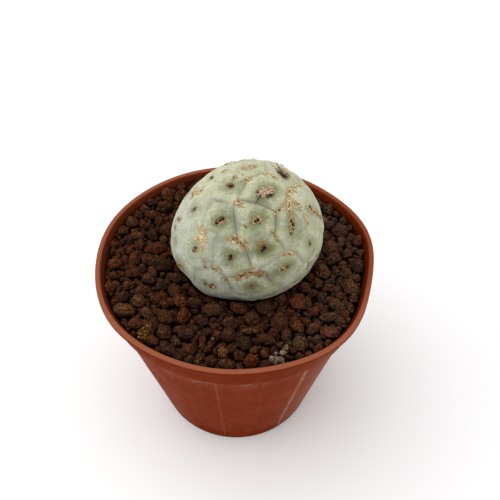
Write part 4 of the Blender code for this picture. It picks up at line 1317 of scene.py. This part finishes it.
def areole_wool():
    """Hairs that start round the pits of every areole above the gravel and lean outwards."""
    points, faces, tones = [], [], []
    for index, site in shown_areoles():
        draw = random.Random(WOOL_SEED + index)
        _, pale, count, length_mm, _ = look_of(index)
        east, north = tangent_frame(site)
        thick = BRISTLE_RADIUS if index == TUFT_AREOLE else HAIR_RADIUS
        for _ in range(count):
            rim = rim_by_draw(index, site, draw)
            u = unit(site + 0.90 * math.sqrt(draw.random()) * rim)
            if index == TUFT_AREOLE:
                lean = draw.choice((-3.0, 3.0)) * east + draw.uniform(-1.6, 1.0) * north
            else:
                lean = unit(rim) * draw.uniform(0.1, 1.6) + 0.5 * (draw.uniform(-1, 1) * east
                                                                   + draw.uniform(-1, 1) * north)
            if pit_shares(u[None, :])[0] < 0.9:
                continue
            start = EGG_CENTRE + u * (skin_reach(u) - WOOL_SUNK)
            length = 0.001 * length_mm * draw.uniform(0.5, 1.15)
            before = len(points)
            add_hair((points, faces), start, u + lean, length, thick * draw.uniform(0.6, 1.4), draw)
            spread = 0.50 if index == TUFT_AREOLE else 0.32
            tones += [min(1.0, max(0.0, draw.gauss(pale, spread)))] * (len(points) - before)
    return points, tones, faces


def wool_finish():
    """Dark brown through pinkish tan to cream."""
    wool = Finish("areole_wool", (0.050, 0.022, 0.010), 0.85, Specular_IOR_Level=0.2)
    tone = wool.layer("tone")
    wool.coat((0.60, 0.38, 0.21), tone, 0.0, 0.5)
    wool.coat((0.98, 0.86, 0.64), tone, 0.5, 1.0)
    wool.coat((0.12, 0.06, 0.03), wool.cloud(0.5), 0.3, 0.7, 0.0, 0.30)
    return wool.close()


points, tones, faces = areole_wool()
wool = new_piece("areole_wool", points, faces, wool_finish())
add_layer(wool, "tone", tones)
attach(wool, "root")
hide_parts("cactus")


# Spines. A few short dry spines are left on two areoles near the tip and one on the right.
# Each is a thin dark or straw-coloured needle rooted in its wool.

# Where it is rooted and where its point is, on the egg, how far the point stands off the skin and
# its radius in millimetres, and paleness.
SPINES = (
    ((-70, 70), (-86, 62), 0.8, 0.27, 0.06), ((-62, 71), (-75, 76), 0.9, 0.10, 0.15),
    ((-50, 68), (-38, 64), 0.7, 0.08, 0.40), ((36, 63), (46, 66), 1.3, 0.15, 0.05),
    ((28, 62), (8, 58), 0.8, 0.08, 0.60), ((30, 66), (60, 68), 0.9, 0.09, 0.20),
    ((-4, 20), (-9, 18), 2.2, 0.09, 0.25), ((-5, 22), (-3, 15), 1.5, 0.07, 0.45),
    ((-7, 24), (-15, 20), 1.4, 0.07, 0.20),
)
SPINE_SEED = 77
SPINE_SIDES = 8
SPINE_STEPS = 8
SPINE_SUNK = 0.0001


def spine_needles():
    """The spines, each from its foot on the skin to its point."""
    points, faces, tones = [], [], []
    draw = random.Random(SPINE_SEED)
    for foot, tip, off, radius, pale in SPINES:
        foot_way, tip_way = direction(*foot), direction(*tip)
        start = EGG_CENTRE + foot_way * (skin_reach(foot_way) - SPINE_SUNK)
        end = EGG_CENTRE + tip_way * (skin_reach(tip_way) + 0.001 * off)
        before = len(points)
        add_hair((points, faces), start, end - start, float(np.linalg.norm(end - start)),
                 0.001 * radius, draw, 0.05, SPINE_SIDES, SPINE_STEPS)
        tones += [pale] * (len(points) - before)
    return points, tones, faces


def spine_finish():
    """Glossy dark brown to straw, with a greyer weathered skin."""
    horn = Finish("dry_spine", (0.030, 0.016, 0.010), 0.55, IOR=1.15)
    horn.coat((0.85, 0.78, 0.64), horn.layer("tone"))
    horn.coat((0.16, 0.13, 0.11), horn.cloud(0.8, 4.0), 0.45, 0.70, 0.0, 0.35)
    return horn.close()


points, tones, faces = spine_needles()
spines = new_piece("spines", points, faces, spine_finish())
add_layer(spines, "tone", tones)
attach(spines, "root")
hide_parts("cactus")


# Gravel bed. The lower stones and their dust, poured round the cactus on top of the mix, form
# one crumbly layer, painted almost black as the shade between the upper stones, where alone it shows.

GAP = 0.0003
MIX_TOP = 0.0537
GRIT_LEVEL = 0.0615
HEAP_RISE = 0.00030
HEAP_LONG = 0.027
HEAP_SHORT = 0.016
BED_DROP = 0.0011
BED_SINK = 0.0007
# Crumbs of the bed: height and grain in metres, and seed.
BED_CRUMBS = ((0.00035, 0.0019, 11), (0.00030, 0.0009, 12))
# The crumbs fade in from both edges, each over one part in so many of the bed's width.
CRUMB_FADE = 12.0
BED_COLUMNS = 320
BED_RINGS = 88
REACH_HALVINGS = 30


def heap(x, y):
    """Rise and fall of the stones over the layer."""
    turn = 2.0 * math.pi
    broad = np.sin(turn * x / HEAP_LONG + 1.0) * np.cos(turn * y / HEAP_LONG)
    tight = 0.6 * np.sin(turn * (y + 0.3 * x) / HEAP_SHORT)
    return HEAP_RISE * (1.0 + broad + tight)


def egg_reach(angles, height, clearance):
    """Level distance from the upright axis through the egg's foot to its skin, at a height."""
    foot = egg_foot()
    low, high = np.zeros(len(angles)), np.full(len(angles), 2.0 * max(EGG_RADII))
    for _ in range(REACH_HALVINGS):
        reach = 0.5 * (low + high)
        offset = level_ring(reach, angles, height, foot) - EGG_CENTRE
        distance = np.linalg.norm(offset, axis=1)
        inside = distance < egg_radius(offset / distance[:, None]) + clearance
        low, high = np.where(inside, reach, low), np.where(inside, high, reach)
    return high


def gravel_bed():
    """A ring-shaped layer: flat below, plain sides, and a crumbly top."""
    foot = egg_foot()
    angles = turns(BED_COLUMNS)
    bottom = MIX_TOP + GAP
    outer = (inner_radius(GRIT_LEVEL - BED_DROP) - 1.2 * GAP) * squeeze(angles, GRIT_LEVEL)
    low_outer = (inner_radius(bottom) - 1.2 * GAP) * squeeze(angles, bottom)
    inner = egg_reach(angles, GRIT_LEVEL - BED_DROP, 1.5 * GAP)
    low_inner = egg_reach(angles, bottom, 1.5 * GAP)
    out_x, out_y = outer * np.cos(angles), outer * np.sin(angles)
    in_x, in_y = foot[0] + inner * np.cos(angles), foot[1] + inner * np.sin(angles)
    rings = [level_ring(low_outer, angles, bottom)]
    for share in np.linspace(0.0, 1.0, BED_RINGS):
        x, y = part_way(out_x, in_x, share), part_way(out_y, in_y, share)
        flat = np.column_stack((x, y, np.zeros(BED_COLUMNS)))
        crumb = sum(high * np.abs(grain(flat, size, seed)) for high, size, seed in BED_CRUMBS)
        edge = min(1.0, share * CRUMB_FADE, (1.0 - share) * CRUMB_FADE)
        rings.append(np.column_stack((x, y, GRIT_LEVEL - BED_DROP - BED_SINK * edge + crumb * edge)))
    rings.append(level_ring(low_inner, angles, bottom, foot))
    faces = tube_faces(len(rings), BED_COLUMNS)
    last = (len(rings) - 1) * BED_COLUMNS
    for i in range(BED_COLUMNS):
        j = (i + 1) % BED_COLUMNS
        faces.append((last + i, last + j, j, i))
    return np.vstack(rings), faces


def bed_finish():
    """Brown dust painted almost black as shade, with small rusty and grey grains."""
    dust = Finish("gravel_dust_and_shade", (0.006, 0.003, 0.002), 0.95, IOR=1.06)
    crumb = dust.cloud(1.1, 6.0, 0.75)
    dust.coat((0.024, 0.010, 0.005), crumb, 0.35, 0.68)
    dust.coat((0.060, 0.024, 0.011), dust.cloud(0.5, 2.0, 0.6), 0.60, 0.70, 0.0, 0.6)
    return dust.close((crumb, 0.4), (dust.cloud(0.35, 4.0, 0.7), 0.15))


bed_points, bed_faces = gravel_bed()
bed = new_piece("gravel_bed", bed_points, bed_faces, bed_finish())
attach(bed, "root")
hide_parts("lava_grit")


# Gravel stones. Crushed and tumbled volcanic stone, porous and rounded at its corners, mostly
# dark red-brown, with rust, plum, grey and ochre stones among it. The stones lie loosely.

LAYER_CLEAR = 4.0 * GAP
# Place from the pot's axis, length and width in millimetres, turn in degrees, and kind.
KEY_STONES = (
    (-31.4, -20.7, 7.7, 4.7, -15, "ochre"), (-24.6, -21.3, 5.6, 3.1, -45, "olive"),
    (-19.3, -22.6, 5.0, 4.9, 0, "brown"), (-14.1, -21.8, 5.9, 4.5, 85, "rust"),
    (-8.6, -23.8, 3.9, 2.7, 10, "grey"), (-19.0, -28.1, 4.9, 4.4, 15, "brown"),
    (-13.0, -28.0, 4.9, 4.4, -15, "grey"), (-1.4, -28.8, 4.9, 4.7, 0, "plum"),
    (-11.9, -33.6, 4.8, 4.3, 80, "rust"), (-16.8, -33.7, 4.8, 3.7, -10, "plum"),
    (-6.6, -32.5, 3.8, 2.0, 50, "brown"), (-5.6, -36.6, 3.9, 3.4, 0, "brown"),
    (-9.3, -37.3, 2.1, 2.0, 80, "olive"), (-11.0, -17.4, 5.7, 3.1, 0, "plum"),
    (-22.7, -15.8, 4.0, 3.7, 0, "rust"), (-26.9, -12.5, 5.3, 3.8, 15, "brown"),
    (-31.5, -10.7, 5.0, 3.2, 20, "brown"), (-32.5, -16.0, 5.8, 4.0, 20, "plum"),
    (-36.5, -12.7, 4.1, 4.4, 0, "rust"), (-30.8, -5.9, 6.0, 3.5, 25, "brown"),
    (-36.7, -2.8, 5.2, 3.9, 20, "rust"), (-22.1, -2.9, 8.7, 4.9, 0, "grey"),
    (-25.4, 4.2, 9.1, 4.7, 5, "rust"), (-21.2, -10.5, 5.0, 3.2, 25, "grey"),
    (-17.3, -8.0, 4.2, 3.8, 0, "brown"), (-12.2, -13.4, 3.8, 3.4, -30, "brown"),
    (1.4, -18.3, 6.9, 4.9, -30, "rust"), (-1.0, -24.0, 6.1, 4.8, -20, "plum"),
    (-7.2, -27.2, 3.9, 3.0, 0, "grey"), (2.0, -34.6, 3.5, 3.2, 0, "brown"),
    (18.3, -16.5, 5.5, 5.3, 85, "red"), (13.5, -15.5, 4.3, 4.4, 60, "brown"),
    (29.5, -17.0, 5.8, 3.7, -30, "olive"), (23.0, -19.7, 3.7, 3.4, 80, "red"),
    (26.8, -21.7, 6.5, 3.1, 5, "olive"), (31.7, -20.9, 2.6, 2.7, 0, "red"),
    (12.7, -23.4, 5.6, 5.5, 80, "brown"), (17.4, -24.0, 7.0, 3.9, -55, "rust"),
    (27.0, -26.9, 6.1, 3.8, -10, "rust"), (23.0, -29.3, 3.6, 2.9, 80, "plum"),
    (18.2, -30.7, 5.2, 5.3, 0, "olive"), (9.3, -29.6, 6.0, 3.8, -20, "brown"),
    (3.3, -31.0, 4.1, 4.4, 0, "grey"), (4.9, -27.0, 6.1, 1.8, 0, "ochre"),
    (5.0, -36.4, 5.0, 4.5, 0, "red"), (8.7, -33.8, 3.5, 2.6, 80, "rust"),
    (12.2, -36.3, 4.5, 3.5, 0, "pumice"), (14.1, -32.8, 2.7, 2.6, 70, "ochre"),
    (20.6, -10.8, 3.8, 3.8, 0, "rust"), (22.4, -6.8, 3.0, 3.2, 0, "red"),
    (30.7, -13.2, 3.2, 3.1, 80, "rust"), (25.1, -14.1, 3.8, 2.8, 80, "grey"),
    (33.3, -5.0, 3.9, 3.9, 80, "ochre"), (36.9, -2.5, 4.3, 4.6, 0, "grey"),
    (27.8, -10.2, 4.4, 3.2, 0, "rust"), (29.4, 5.8, 6.9, 5.4, 80, "rust"),
    (34.5, 3.4, 4.1, 3.4, 0, "brown"), (38.1, 7.8, 3.8, 4.1, 0, "red"),
    (39.1, 3.5, 3.7, 2.7, 0, "rust"), (29.9, 16.3, 3.9, 3.9, 0, "brown"),
    (34.6, 17.8, 4.3, 3.2, 80, "grey"), (30.1, 23.1, 4.7, 4.0, 80, "grey"),
    (-31.5, 9.8, 5.7, 3.3, 5, "ochre"), (-36.5, 11.1, 4.5, 3.4, 0, "brown"),
    (-28.9, 25.2, 4.7, 3.2, 0, "grey"), (-27.9, 19.8, 6.6, 2.8, 5, "rust"),
    (-29.5, 14.5, 5.2, 2.4, -10, "brown"), (-20.0, 34.2, 4.2, 3.0, 0, "ochre"),
    (-38.0, 5.2, 4.4, 3.4, 0, "brown"), (-33.3, 3.2, 3.7, 2.7, 0, "rust"),
)
# The stones placed by draw, on top and then lower in the gaps: seed, sizes in metres, tries for
# each, spacing, longest and slimmest share of the size, and share kept off the wall and the cactus.
UPPER_FILL = (7, (0.0057, 0.0050, 0.0044, 0.0039, 0.0034), 900, 0.86, 1.35, 0.72, 0.80, 0.45)
LOWER_FILL = (41, (0.0040, 0.0033, 0.0027, 0.0022, 0.0017, 0.0013), 2200, 0.64, 1.40, 0.70, 0.60, 0.35)
# Seeds of a stone's corners, edges, kind and tone, each counted on by the stone's number.
CORNER_SEED, EDGE_SEED, KIND_SEED, TONE_SEED = 1000, 9000, 5000, 7000
STONE_RAGGED = 0.14
STONE_LEAN = 0.35
STONE_EDGES = (20.0, 70.0)
LARGE_STONE = 0.0046
SMALL_STONE = 0.0024
# Rings of a stone's corners: share of its reach, level in heights, and number of corners.
STONE_RINGS = ((0.60, -0.45, 3), (1.0, 0.0, 5), (0.58, 0.48, 3))
WALL_HEAP = 0.0014
WALL_REACH = 0.0060
RIGHT_HEAP = math.radians(8)
PORE_DEPTH = 0.00016
PORE_GRAIN = 0.00060
PORED_STONE = 0.0015
FIRST_LOOSE_BIT = 4000
# Small pieces that lie on the others, with how high they lie over the layer in millimetres: a
# second lobe of pumice, white crumbs, and a crumb of golden-brown bark in flakes.
LOOSE_BITS = (
    (13.4, -34.9, 2.4, 1.9, 30, 1.6, "pumice"), (14.3, -33.3, 2.3, 1.6, 70, 1.9, "pumice"),
    (10.6, -36.6, 2.6, 1.9, -30, 1.5, "pumice"), (12.6, -36.9, 2.2, 1.8, 10, 1.8, "pumice"),
    (11.6, -35.2, 1.7, 1.4, 0, 1.9, "pumice"), (-5.4, -30.5, 0.9, 0.7, 20, 1.7, "pumice"),
    (-20.0, 4.3, 0.8, 0.5, 60, 3.4, "pumice"), (-23.7, -27.1, 0.8, 0.6, 0, 2.2, "pumice"),
    (-25.9, -29.2, 0.7, 0.5, 40, 2.0, "pumice"), (-25.5, -30.5, 0.8, 0.7, 0, 1.7, "pumice"),
    (-24.9, -28.5, 2.1, 1.0, 60, 2.2, "bark"), (-24.1, -28.9, 1.9, 0.9, -20, 2.3, "bark"),
    (-25.1, -29.6, 1.8, 1.1, 10, 2.0, "bark"), (-23.8, -29.9, 2.0, 0.9, -60, 1.9, "bark"),
    (-24.6, -27.8, 1.6, 0.9, 30, 2.0, "bark"), (-23.2, -29.0, 1.7, 0.8, 85, 1.7, "bark"),
    (-24.3, -30.6, 1.9, 1.1, -30, 1.5, "bark"), (-23.4, -30.8, 1.5, 1.0, 15, 1.3, "bark"),
    (-25.6, -28.9, 1.2, 0.5, -70, 1.8, "bark"), (-14.3, -37.0, 1.2, 0.8, 30, 1.5, "bark"),
    (-8.2, -36.9, 1.3, 0.8, 60, 1.5, "ochre"), (-5.2, -37.4, 1.2, 0.7, -40, 1.5, "ochre"),
)

# Kinds without rusty patches. Then shadow, main and speck colour of each kind, and its share
# among the stones placed by draw.
PALE_KINDS = ("pumice", "bark")
STONE_KINDS = {
    "brown": ((0.020, 0.0080, 0.0040), (0.082, 0.0310, 0.0150), (0.200, 0.090, 0.045), 0.40),
    "rust": ((0.028, 0.0085, 0.0038), (0.105, 0.0320, 0.0135), (0.235, 0.092, 0.042), 0.27),
    "plum": ((0.019, 0.0070, 0.0042), (0.068, 0.0260, 0.0150), (0.165, 0.078, 0.046), 0.19),
    "grey": ((0.014, 0.0066, 0.0038), (0.050, 0.0236, 0.0128), (0.130, 0.072, 0.042), 0.06),
    "olive": ((0.028, 0.0140, 0.0056), (0.098, 0.0470, 0.0200), (0.195, 0.112, 0.055), 0.03),
    "ochre": ((0.036, 0.0140, 0.0055), (0.130, 0.0540, 0.0210), (0.270, 0.150, 0.070), 0.03),
    "red": ((0.038, 0.0095, 0.0042), (0.135, 0.0320, 0.0120), (0.250, 0.085, 0.034), 0.02),
    "pumice": ((0.070, 0.0400, 0.0240), (0.240, 0.1550, 0.1000), (0.620, 0.500, 0.390), 0.00),
    "bark": ((0.045, 0.0180, 0.0040), (0.210, 0.0900, 0.0150), (0.480, 0.250, 0.060), 0.00),
}


def ball(level):
    """Points and faces of an evenly divided ball."""
    body = bmesh.new()
    bmesh.ops.create_icosphere(body, subdivisions=level, radius=1.0)
    points = unit(np.array([v.co for v in body.verts]))
    faces = np.array([[v.index for v in f.verts] for f in body.faces])
    body.free()
    return points, faces


BALLS = {level: ball(level) for level in (2, 3, 4)}


def clear_of_cactus(x, y, half, share):
    """Whether a stone at a place keeps a share of its half width away from the cactus."""
    offset = np.array((x, y, GRIT_LEVEL + 0.3 * half)) - EGG_CENTRE
    distance = np.linalg.norm(offset)
    return distance >= egg_radius(offset / distance) + share * half


def kind_by_draw(index):
    """Kind of a stone that isn't one of the listed ones."""
    kinds = list(STONE_KINDS)
    shares = [STONE_KINDS[kind][3] for kind in kinds]
    return random.Random(KIND_SEED + index).choices(kinds, shares)[0]


def scattered(stones, seed, sizes, tries, spacing, longest, slimmest, at_wall, at_cactus):
    """More stones by draw, from large to small, each clear of the wall, the cactus and the others."""
    draw = random.Random(seed)
    placed = np.array([(x, y, 0.25 * (length + width)) for x, y, length, width, _ in stones])
    more = []
    for size in sizes:
        for _ in range(tries):
            angle = draw.uniform(0.0, 2.0 * math.pi)
            reach = LIP_RADIUS * math.sqrt(draw.random())
            x, y = reach * math.cos(angle), reach * math.sin(angle)
            length, width = size * draw.uniform(0.95, longest), size * draw.uniform(slimmest, 0.98)
            turn = draw.uniform(0.0, math.pi)
            half = 0.25 * (length + width)
            wall = inner_radius(GRIT_LEVEL) * squeeze(angle, GRIT_LEVEL)
            if reach + at_wall * half > wall or not clear_of_cactus(x, y, half, at_cactus):
                continue
            gaps = np.hypot(placed[:, 0] - x, placed[:, 1] - y) - spacing * (placed[:, 2] + half)
            if gaps.min() > 0.0:
                placed = np.vstack((placed, (x, y, half)))
                more.append((x, y, length, width, turn))
    return more


def seat_points(points):
    """Keep points clear of the wall, of the cactus and of the mix."""
    points = points.copy()
    points[:, 2] = np.maximum(points[:, 2], MIX_TOP + LAYER_CLEAR)
    offset = points - EGG_CENTRE
    distance = np.linalg.norm(offset, axis=1)
    least = egg_radius(offset / distance[:, None]) + DOME_HEIGHT + 0.5 * GAP
    push = np.maximum(1.0, least / distance)
    points = EGG_CENTRE + offset * push[:, None]
    angle, reach = np.arctan2(points[:, 1], points[:, 0]), np.hypot(points[:, 0], points[:, 1])
    wall = np.array([inner_radius(min(z, POT_HEIGHT)) for z in points[:, 2]]) - GAP
    pull = np.minimum(1.0, wall * squeeze(angle, points[:, 2]) / reach)
    points[:, :2] *= pull[:, None]
    return points


def stone_corners(index, stone, sunk=0.0):
    """Corners of a rough stone: three below, a belt and a few on top, all moved a little."""
    x, y, length, width, turn = stone
    draw = random.Random(CORNER_SEED + index)
    extra = 1 if length > LARGE_STONE else 0
    tall = 0.90 * width * draw.uniform(0.85, 1.15)
    rise = GRIT_LEVEL + heap(x, y) + 0.10 * tall - sunk
    lean_x, lean_y = draw.uniform(-STONE_LEAN, STONE_LEAN), draw.uniform(-STONE_LEAN, STONE_LEAN)
    corners = []
    for reach, level, count in STONE_RINGS:
        sides = count + extra if level >= 0.0 else count
        phase = draw.uniform(0.0, 2.0 * math.pi)
        for side in range(sides):
            angle = phase + 2.0 * math.pi * side / sides
            ragged = reach * draw.uniform(1.0 - STONE_RAGGED, 1.0 + STONE_RAGGED)
            u = 0.5 * length * ragged * math.cos(angle)
            v = 0.5 * width * ragged * math.sin(angle)
            w = tall * (level + draw.uniform(-0.08, 0.08)) + 0.5 * (lean_x * u + lean_y * v)
            corners.append((x + math.cos(turn) * u - math.sin(turn) * v,
                            y + math.sin(turn) * u + math.cos(turn) * v, rise + w))
    return np.array(corners)


def tumbled(corners, level, seed):
    """A porous stone with rounded edges that fills the hull of its corners."""
    middle = corners.mean(axis=0)
    hull = bmesh.new()
    for corner in corners:
        hull.verts.new(corner - middle)
    bmesh.ops.convex_hull(hull, input=hull.verts)
    hull.normal_update()
    planes = []
    for face in hull.faces:
        normal, depth = np.array(face.normal), face.normal.dot(face.verts[0].co)
        if depth < 0.0:
            normal, depth = -normal, -depth
        planes.append(normal / max(depth, 1e-5))
    hull.free()
    directions, faces = BALLS[level]
    slopes = np.maximum(directions @ np.array(planes).T, 0.0)
    sharp = slopes.max(axis=1)
    power = random.Random(EDGE_SEED + seed).uniform(*STONE_EDGES)
    soft = (slopes ** power).sum(axis=1) ** (1.0 / power)
    reach = np.mean(1.0 / sharp) / np.mean(1.0 / soft) / soft
    size = float(np.mean(reach))
    points = directions * reach[:, None]
    place = points + middle
    lumps = (0.12 * size * grain(place, 1.1 * size, seed % 50) + 0.040 * size * grain(place, 0.42 * size, 3)
             + 0.00009 * grain(place, 0.00048, 4))
    pores = step_up(0.20, 0.65, grain(place, PORE_GRAIN, 5)) * min(1.0, size / PORED_STONE)
    points = points + directions * (lumps - PORE_DEPTH * pores)[:, None]
    return seat_points(points + middle), faces, pores


def stone_finish(kind):
    """Porous stone: mottled, with pale grains and dark specks, painted shade in its pores and painted light
    on the stones towards the right.
    """
    dark, main, speck, _ = STONE_KINDS[kind]
    stone = Finish(kind + "_stone", dark, 0.92, IOR=1.06)
    patches, grains = stone.cloud(1.5, 5.0, 0.68), stone.cloud(0.55, 3.0, 0.7)
    stone.coat(main, patches, 0.34, 0.60)
    if kind not in PALE_KINDS:
        stone.coat((0.112, 0.0320, 0.0125), stone.cloud(2.4, 2.0, 0.5), 0.48, 0.64, 0.0, 0.50)
    stone.coat(speck, grains, 0.52, 0.66, 0.0, 0.85)
    stone.coat((0.008, 0.004, 0.003), grains, 0.36, 0.48, 0.85, 0.0)
    # Painted shade in the sunk pores.
    stone.coat(dark, stone.times(stone.layer("pore"), 0.7))
    stone.coat([0.45 * value for value in main], stone.layer("tone"), 0.0, 1.0, 0.0, 0.45)
    # Painted light on the stones towards the right.
    painted_light_right = stone.fade(stone.axis("X"), 0.010, 0.030, 0.0, 0.26)
    stone.coat((0.170, 0.105, 0.072), stone.times(painted_light_right, stone.fade(grains, 0.40, 0.60)))
    return stone.close((patches, 0.35), (grains, 0.25))


def heaped_up(stone):
    """How much higher a stone lies where the gravel is heaped against the left and right wall."""
    angle, reach = math.atan2(stone[1], stone[0]), math.hypot(stone[0], stone[1])
    wall = inner_radius(GRIT_LEVEL) * squeeze(angle, GRIT_LEVEL)
    near = max(0.0, 1.0 - (wall - reach) / WALL_REACH)
    return WALL_HEAP * near * max(-math.cos(angle), math.cos(angle - RIGHT_HEAP) ** 3, 0.0)


heaps = {kind: ([], [], [], []) for kind in STONE_KINDS}


def add_stone(index, corners, level, kind):
    """Put a stone in the heap of its kind."""
    points, faces, pores = tumbled(corners, level, index)
    all_points, all_faces, all_pores, tones = heaps[kind]
    start = sum(len(part) for part in all_points)
    all_points.append(points)
    all_faces.append(faces + start)
    all_pores.append(pores)
    tones.append(np.full(len(points), random.Random(TONE_SEED + index).random()))


def in_metres(x, y, length, width, turn):
    """A stone of a table, in metres and radians."""
    return x / 1000.0, y / 1000.0, length / 1000.0, width / 1000.0, math.radians(turn)


upper = [in_metres(*row[:5]) for row in KEY_STONES]
upper += scattered(upper, *UPPER_FILL)
for index, stone in enumerate(upper):
    kind = KEY_STONES[index][5] if index < len(KEY_STONES) else kind_by_draw(index)
    add_stone(index, stone_corners(index, stone, -0.6 * heaped_up(stone)), 4, kind)
for index, stone in enumerate(scattered(upper, *LOWER_FILL), start=len(upper)):
    sunk = 0.32 * stone[3] + random.Random(index).uniform(0.0, 0.0006) - heaped_up(stone)
    level = 3 if stone[2] > SMALL_STONE else 2
    add_stone(index, stone_corners(index, stone, sunk), level, kind_by_draw(index))
for index, (*row, height, kind) in enumerate(LOOSE_BITS, start=FIRST_LOOSE_BIT):
    add_stone(index, stone_corners(index, in_metres(*row), -height / 1000.0), 3, kind)

for kind, (points, faces, pores, tones) in heaps.items():
    heap_piece = new_piece("stones_" + kind, np.vstack(points), np.vstack(faces).tolist(), stone_finish(kind))
    add_layer(heap_piece, "tone", np.concatenate(tones))
    add_layer(heap_piece, "pore", np.concatenate(pores))
    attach(heap_piece, "root")
    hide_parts("lava_grit")
